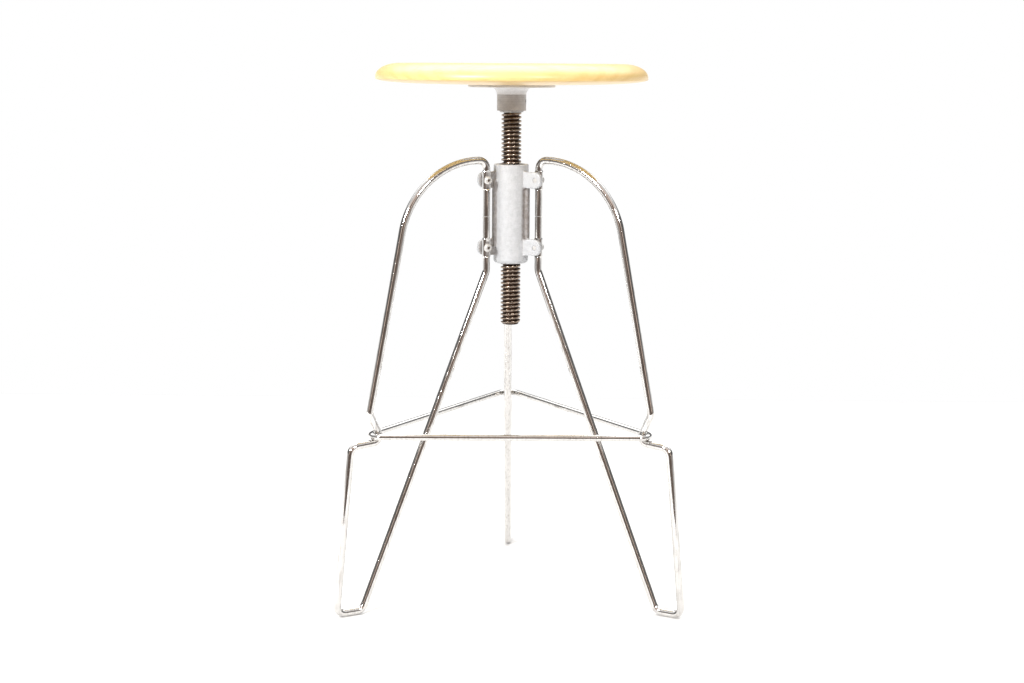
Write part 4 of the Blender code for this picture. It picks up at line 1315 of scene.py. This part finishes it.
class BuildHub(Operator):
    """Cast the hub with its ears and ribs, then machine its ends, bore and screw holes"""

    bl_idname = "stool.build_hub"
    bl_label = "Hub"

    def execute(self, context):
        hub = context.scene.stool_hub
        legs = context.scene.stool_legs
        piece = self.cast_barrel(hub)
        ears = ear_heights()
        face = legs.offset - legs.flat_thickness / 2 - GAP
        back = face - hub.ear_thickness
        for index in range(len(LEG_NAMES)):
            rib = slab("rib", self.rib_outline(hub, ears), hub.rib_thickness)
            rib.matrix_world = leg_turn(index)
            combine(piece, rib, "UNION")
            for height in ears.values():
                ear = slab("ear", self.ear_outline(hub, height, back), hub.ear_thickness)
                ear.matrix_world = leg_turn(index) @ Matrix.Translation((0, (face + back) / 2, 0))
                combine(piece, ear, "UNION")
        self.roughen(piece, hub)
        combine(piece, self.end_mill(hub), "INTERSECT")
        combine(piece, self.boring_bar(hub), "DIFFERENCE")
        width = legs.screw_diameter + GAP
        for index in range(len(LEG_NAMES)):
            for height in ears.values():
                place = leg_turn(index) @ clamp_place(legs, height)
                drill(piece, width, back - OVERRUN, face + OVERRUN, place)
        dress(piece, hub_finish(context.scene.stool_colours, hub), ["hub"], "base")
        return {"FINISHED"}

    def cast_barrel(self, hub):
        """The barrel as it comes from the mould, a little tall at its top."""
        side = hub.diameter / 2
        top = high("hub") + OVERRUN
        bottom = low("hub")
        corners = [((0, top), 0), ((side, top), 0), ((side, bottom), hub.foot_round), ((0, bottom), 0)]
        return turned("hub_casting", rounded_path(corners), TURNED_STEPS)

    def ear_outline(self, hub, height, back):
        """Outline of an ear, rounded at its end and filleted into the barrel."""
        root = (hub.bore + hub.diameter) / 4
        wall = math.sqrt((hub.diameter / 2) ** 2 - back ** 2) - hub.ear_grip
        bottom = height - hub.ear_height / 2
        top = height + hub.ear_height / 2
        fillet = hub.ear_root
        corners = [
            ((root, bottom - 2 * fillet), 0),
            ((wall, bottom - 2 * fillet), 0),
            ((wall, bottom), fillet),
            ((hub.ear_reach, bottom), hub.ear_round),
            ((hub.ear_reach, top), hub.ear_round),
            ((wall, top), fillet),
            ((wall, top + 2 * fillet), 0),
            ((root, top + 2 * fillet), 0),
        ]
        return rounded_path(corners, closed=True)

    def rib_outline(self, hub, ears):
        """Outline of the rib that joins two ears."""
        root = (hub.bore + hub.diameter) / 4
        corners = [(root, ears["lower"]), (hub.rib_reach, ears["lower"])]
        corners += [(hub.rib_reach, ears["upper"]), (root, ears["upper"])]
        return [Vector(corner) for corner in corners]

    def roughen(self, piece, hub):
        """Fuse and soften the joined shapes, and give them a casting's uneven skin."""
        fuse = piece.modifiers.new("Fuse", "REMESH")
        fuse.mode = "VOXEL"
        fuse.voxel_size = hub.cast_grain
        soften = piece.modifiers.new("Soften", "SMOOTH")
        soften.factor = CAST_SOFTNESS
        soften.iterations = CAST_ROUNDS
        skin = bpy.data.textures.new("casting_skin", "CLOUDS")
        skin.noise_scale = CAST_LUMPS
        uneven = piece.modifiers.new("Uneven", "DISPLACE")
        uneven.texture = skin
        uneven.strength = CAST_DEPTH
        settle(piece)

    def end_mill(self, hub):
        """What the mill leaves between the two machined ends."""
        top = high("hub")
        bottom = low("hub")
        side = hub.diameter / 2
        outside = 2 * hub.ear_reach
        edge = hub.top_edge
        profile = [(0, top), (side - edge, top), (side + edge, top - 2 * edge), (outside, top - 2 * edge)]
        profile += [(outside, bottom), (0, bottom)]
        return turned("end_mill", profile, TURNED_STEPS)

    def boring_bar(self, hub):
        """Cutter for the bore and the counterbores of the bushes."""
        pocket = hub.bush_diameter / 2 + GAP
        bore = hub.bore / 2
        upper = low("upper_bush") - GAP
        lower = high("lower_bush") + GAP
        top = high("hub") + OVERRUN
        bottom = low("hub") - OVERRUN
        profile = [(0, top), (pocket, top), (pocket, upper), (bore, upper)]
        profile += [(bore, lower), (pocket, lower), (pocket, bottom), (0, bottom)]
        return turned("boring_bar", profile, TURNED_STEPS)


class BuildBushes(Operator):
    """Turn and tap the two bushes that carry the spindle"""

    bl_idname = "stool.build_bushes"
    bl_label = "Bushes"

    def execute(self, context):
        spindle = context.scene.stool_spindle
        radius = context.scene.stool_hub.bush_diameter / 2
        crest = spindle.diameter / 2 + spindle.play
        finish = bronze_finish(context.scene.stool_colours)
        for node in ("upper_bush", "lower_bush"):
            top = high(node)
            bottom = low(node)
            corners = [((0, top), 0), ((radius, top), GAP), ((radius, bottom), GAP), ((0, bottom), 0)]
            piece = turned(f"{node}_turned", rounded_path(corners), TURNED_STEPS)
            profile = thread_profile(crest - spindle.depth, crest, spindle.crest + 2 * GAP, spindle.pitch)
            combine(piece, wound("tap", profile, spindle.pitch, bottom, top), "DIFFERENCE")
            dress(piece, finish, [node], "base")
        return {"FINISHED"}


class BuildLegs(Operator):
    """Bend, press and drill the three legs"""

    bl_idname = "stool.build_legs"
    bl_label = "Legs"

    def execute(self, context):
        legs = context.scene.stool_legs
        finish = finish_once("chrome_plating", chrome_finish, context.scene.stool_colours)
        path = self.centreline(legs, context.scene.stool_footrest)
        points = [point for point, share in path]
        sections = [self.section(legs, point, share) for point, share in path]
        width = legs.screw_diameter + 2 * GAP
        for index, name in enumerate(LEG_NAMES):
            piece = swept(
                f"bent_leg_{name}", points, sections, lambda x, y, aside: (x, legs.offset + aside, y)
            )
            for height in ear_heights().values():
                drill(piece, width, -legs.rod, legs.offset + legs.rod, clamp_place(legs, height))
            piece.data.transform(leg_turn(index))
            dress(piece, finish, [f"leg_{name}"], "base")
        return {"FINISHED"}

    def centreline(self, legs, footrest):
        """The rod's centreline from end to end, each point with its share of the rod's full width."""
        ears = ear_heights()
        radius = legs.rod / 2
        crown = high("hub") + legs.crown_rise
        notch = Vector((footrest.reach, footrest.height))
        notch_radius = footrest.rod / 2 + radius + GAP
        notch_top = notch + Vector((legs.notch_top_out, legs.notch_top_rise))
        notch_foot = notch + Vector((legs.notch_foot_out, -legs.notch_foot_drop))
        way_in = tangent_way(notch_top, notch, notch_radius, -1)
        way_back = tangent_way(notch_foot, notch, notch_radius, 1)
        shoulder_x = legs.clamp_radius + legs.crown_bend + legs.crown_flat
        shoulder_centre = Vector((shoulder_x, crown - legs.shoulder_bend))
        outer_run = tangent_way(notch_top, shoulder_centre, legs.shoulder_bend, -1)
        seam = high("hub") - legs.seam_drop
        upper_end = seam + GAP / 2
        lower_end = seam - GAP / 2
        corners = [
            ((legs.clamp_radius, upper_end), 0),
            ((legs.clamp_radius, upper_end + ROD_CHAMFER), 0),
            *[((legs.clamp_radius, height), 0) for height in self.flat_rings(legs, ears["upper"])],
            ((legs.clamp_radius, crown), legs.crown_bend),
            (meeting_point(notch_top, outer_run, Vector((0, crown)), Vector((1, 0))), legs.shoulder_bend),
            (notch_top, legs.notch_bend),
            (meeting_point(notch_top, way_in, notch_foot, way_back), notch_radius),
            (notch_foot, legs.notch_bend),
            ((legs.foot_outer, radius), legs.foot_outer_bend),
            ((legs.foot_inner, radius), legs.foot_inner_bend),
            ((legs.clamp_radius, low("hub") - legs.knee_drop), legs.knee_bend),
            *[((legs.clamp_radius, height), 0) for height in self.flat_rings(legs, ears["lower"])],
            ((legs.clamp_radius, lower_end - ROD_CHAMFER), 0),
            ((legs.clamp_radius, lower_end), 0),
        ]
        points = rounded_path(corners, step=FINE_STEP)
        shares = [1.0] * len(points)
        shares[0] = shares[-1] = 1 - ROD_CHAMFER / radius
        return list(zip(points, shares))

    def flat_rings(self, legs, ear):
        """Heights of the rod's sections at one pressed flat, from the lowest up."""
        half = legs.flat_length / 2
        rise = [ear - half + legs.flat_blend * step / FLAT_STEPS for step in range(FLAT_STEPS + 1)]
        return rise + [2 * ear - height for height in reversed(rise)]

    def section(self, legs, point, share):
        """The rod's section at a point of its centreline, pressed flat beside an ear."""
        radius = share * legs.rod / 2
        press = 0
        if abs(point.x - legs.clamp_radius) < GAP:
            for ear in ear_heights().values():
                press = max(press, ease((legs.flat_length / 2 - abs(point.y - ear)) / legs.flat_blend))
        half = legs.flat_thickness / 2
        points = []
        for out, aside in round_section(radius):
            reach = aside / half
            squeezed = half * reach / (1 + abs(reach) ** FLAT_SQUARENESS) ** (1 / FLAT_SQUARENESS)
            wider = out * legs.flat_width / legs.rod
            points.append((out + press * (wider - out), aside + press * (squeezed - aside)))
        return points


class BuildClampScrews(Operator):
    """Make the six button-head screws that clamp the legs"""

    bl_idname = "stool.build_clamp_screws"
    bl_label = "Clamp screws"

    def execute(self, context):
        legs = context.scene.stool_legs
        finish = finish_once("zinc_plating", zinc_finish, context.scene.stool_colours)
        for index, leg in enumerate(LEG_NAMES):
            for name, height in ear_heights().items():
                piece = self.turn_screw(f"button_screw_{leg}_{name}", legs, context.scene.stool_hub)
                place = leg_turn(index) @ clamp_place(legs, height)
                dress(piece, finish, [f"clamp_screw_{leg}_{name}"], "base", place)
        return {"FINISHED"}

    def turn_screw(self, name, legs, hub):
        """One screw on the Z axis, its head up."""
        seat = legs.offset + legs.flat_thickness / 2 + GAP
        end = legs.offset - legs.flat_thickness / 2 - hub.ear_thickness
        shank = legs.screw_diameter / 2
        head = legs.screw_head / 2
        crown = legs.screw_head_height
        key = hex_width(legs.screw_key)
        land = key / 2 + GAP
        dome = []
        for point in arc((0, 0), 1, QUARTER, 0, ROUND_STEP):
            dome.append((land + (head - land) * point.x, seat + HEAD_RIM + (crown - HEAD_RIM) * point.y))
        profile = [(0, seat + crown), *dome, (head, seat), (shank, seat)]
        profile += [(shank, end + GAP), (shank - GAP, end), (0, end)]
        piece = turned(name, profile, SCREW_STEPS)
        return drill(piece, key, seat + SOCKET_FLOOR * crown, seat + crown + OVERRUN, sides=HEX_SIDES)


class BuildFootrest(Operator):
    """Bend the triangular footrest ring"""

    bl_idname = "stool.build_footrest"
    bl_label = "Footrest"

    def execute(self, context):
        ring = context.scene.stool_footrest
        offset = context.scene.stool_legs.offset
        corner_reach = math.hypot(ring.reach, offset)
        twist = math.atan2(offset, ring.reach)
        sharp_reach = corner_reach + ring.bend * (1 / math.sin(QUARTER - math.pi / len(LEG_NAMES)) - 1)
        corners = []
        for index in range(len(LEG_NAMES)):
            point = leg_turn(index) @ Matrix.Rotation(twist, 4, "Z") @ Vector((sharp_reach, 0, 0))
            corners.append((point.xy, ring.bend))
        path = rounded_path(corners, closed=True, step=FINE_STEP)
        sections = [round_section(ring.rod / 2)] * len(path)
        piece = swept(
            "footrest_rod_ring",
            path,
            sections,
            lambda x, y, aside: (x, y, ring.height + aside),
            closed=True,
        )
        finish = finish_once("chrome_plating", chrome_finish, context.scene.stool_colours)
        dress(piece, finish, ["footrest_ring"], "base")
        return {"FINISHED"}


class StoolPanel(Panel):
    """Lists the stool's pieces in the sidebar"""

    bl_idname = "VIEW3D_PT_stool"
    bl_label = "Stool"
    bl_space_type = "VIEW_3D"
    bl_region_type = "UI"
    bl_category = "Stool"

    def draw(self, context):
        for operator in OPERATORS:
            self.layout.operator(operator.bl_idname)
        for name, group in GROUPS.items():
            box = self.layout.box()
            box.label(text=group.__doc__)
            for setting in group.__annotations__:
                box.prop(getattr(context.scene, name), setting)


GROUPS = {
    "stool_seat": SeatSizes,
    "stool_plate": PlateSizes,
    "stool_spindle": SpindleSizes,
    "stool_hub": HubSizes,
    "stool_legs": LegSizes,
    "stool_footrest": FootrestSizes,
    "stool_colours": FinishColours,
    "stool_stage": StageSettings,
}
OPERATORS = (
    BuildStage,
    BuildSeat,
    BuildPlate,
    BuildGrubScrew,
    BuildSeatScrews,
    BuildSpindle,
    BuildWasher,
    BuildHub,
    BuildBushes,
    BuildLegs,
    BuildClampScrews,
    BuildFootrest,
)


def register():
    """Add the settings, operators and panel."""
    for name, group in GROUPS.items():
        bpy.utils.register_class(group)
        setattr(bpy.types.Scene, name, PointerProperty(type=group))
    for operator in OPERATORS:
        bpy.utils.register_class(operator)
    bpy.utils.register_class(StoolPanel)


def unregister():
    """Take the settings, operators and panel away."""
    bpy.utils.unregister_class(StoolPanel)
    for operator in reversed(OPERATORS):
        bpy.utils.unregister_class(operator)
    for name, group in reversed(GROUPS.items()):
        delattr(bpy.types.Scene, name)
        bpy.utils.unregister_class(group)


def main():
    """Build the stage and every piece."""
    register()
    bpy.ops.stool.build_stage()
    bpy.ops.stool.build_seat()
    bpy.ops.stool.build_plate()
    bpy.ops.stool.build_grub_screw()
    bpy.ops.stool.build_seat_screws()
    bpy.ops.stool.build_spindle()
    bpy.ops.stool.build_washer()
    bpy.ops.stool.build_hub()
    bpy.ops.stool.build_bushes()
    bpy.ops.stool.build_legs()
    bpy.ops.stool.build_clamp_screws()
    bpy.ops.stool.build_footrest()


if __name__ == "__main__":
    main()
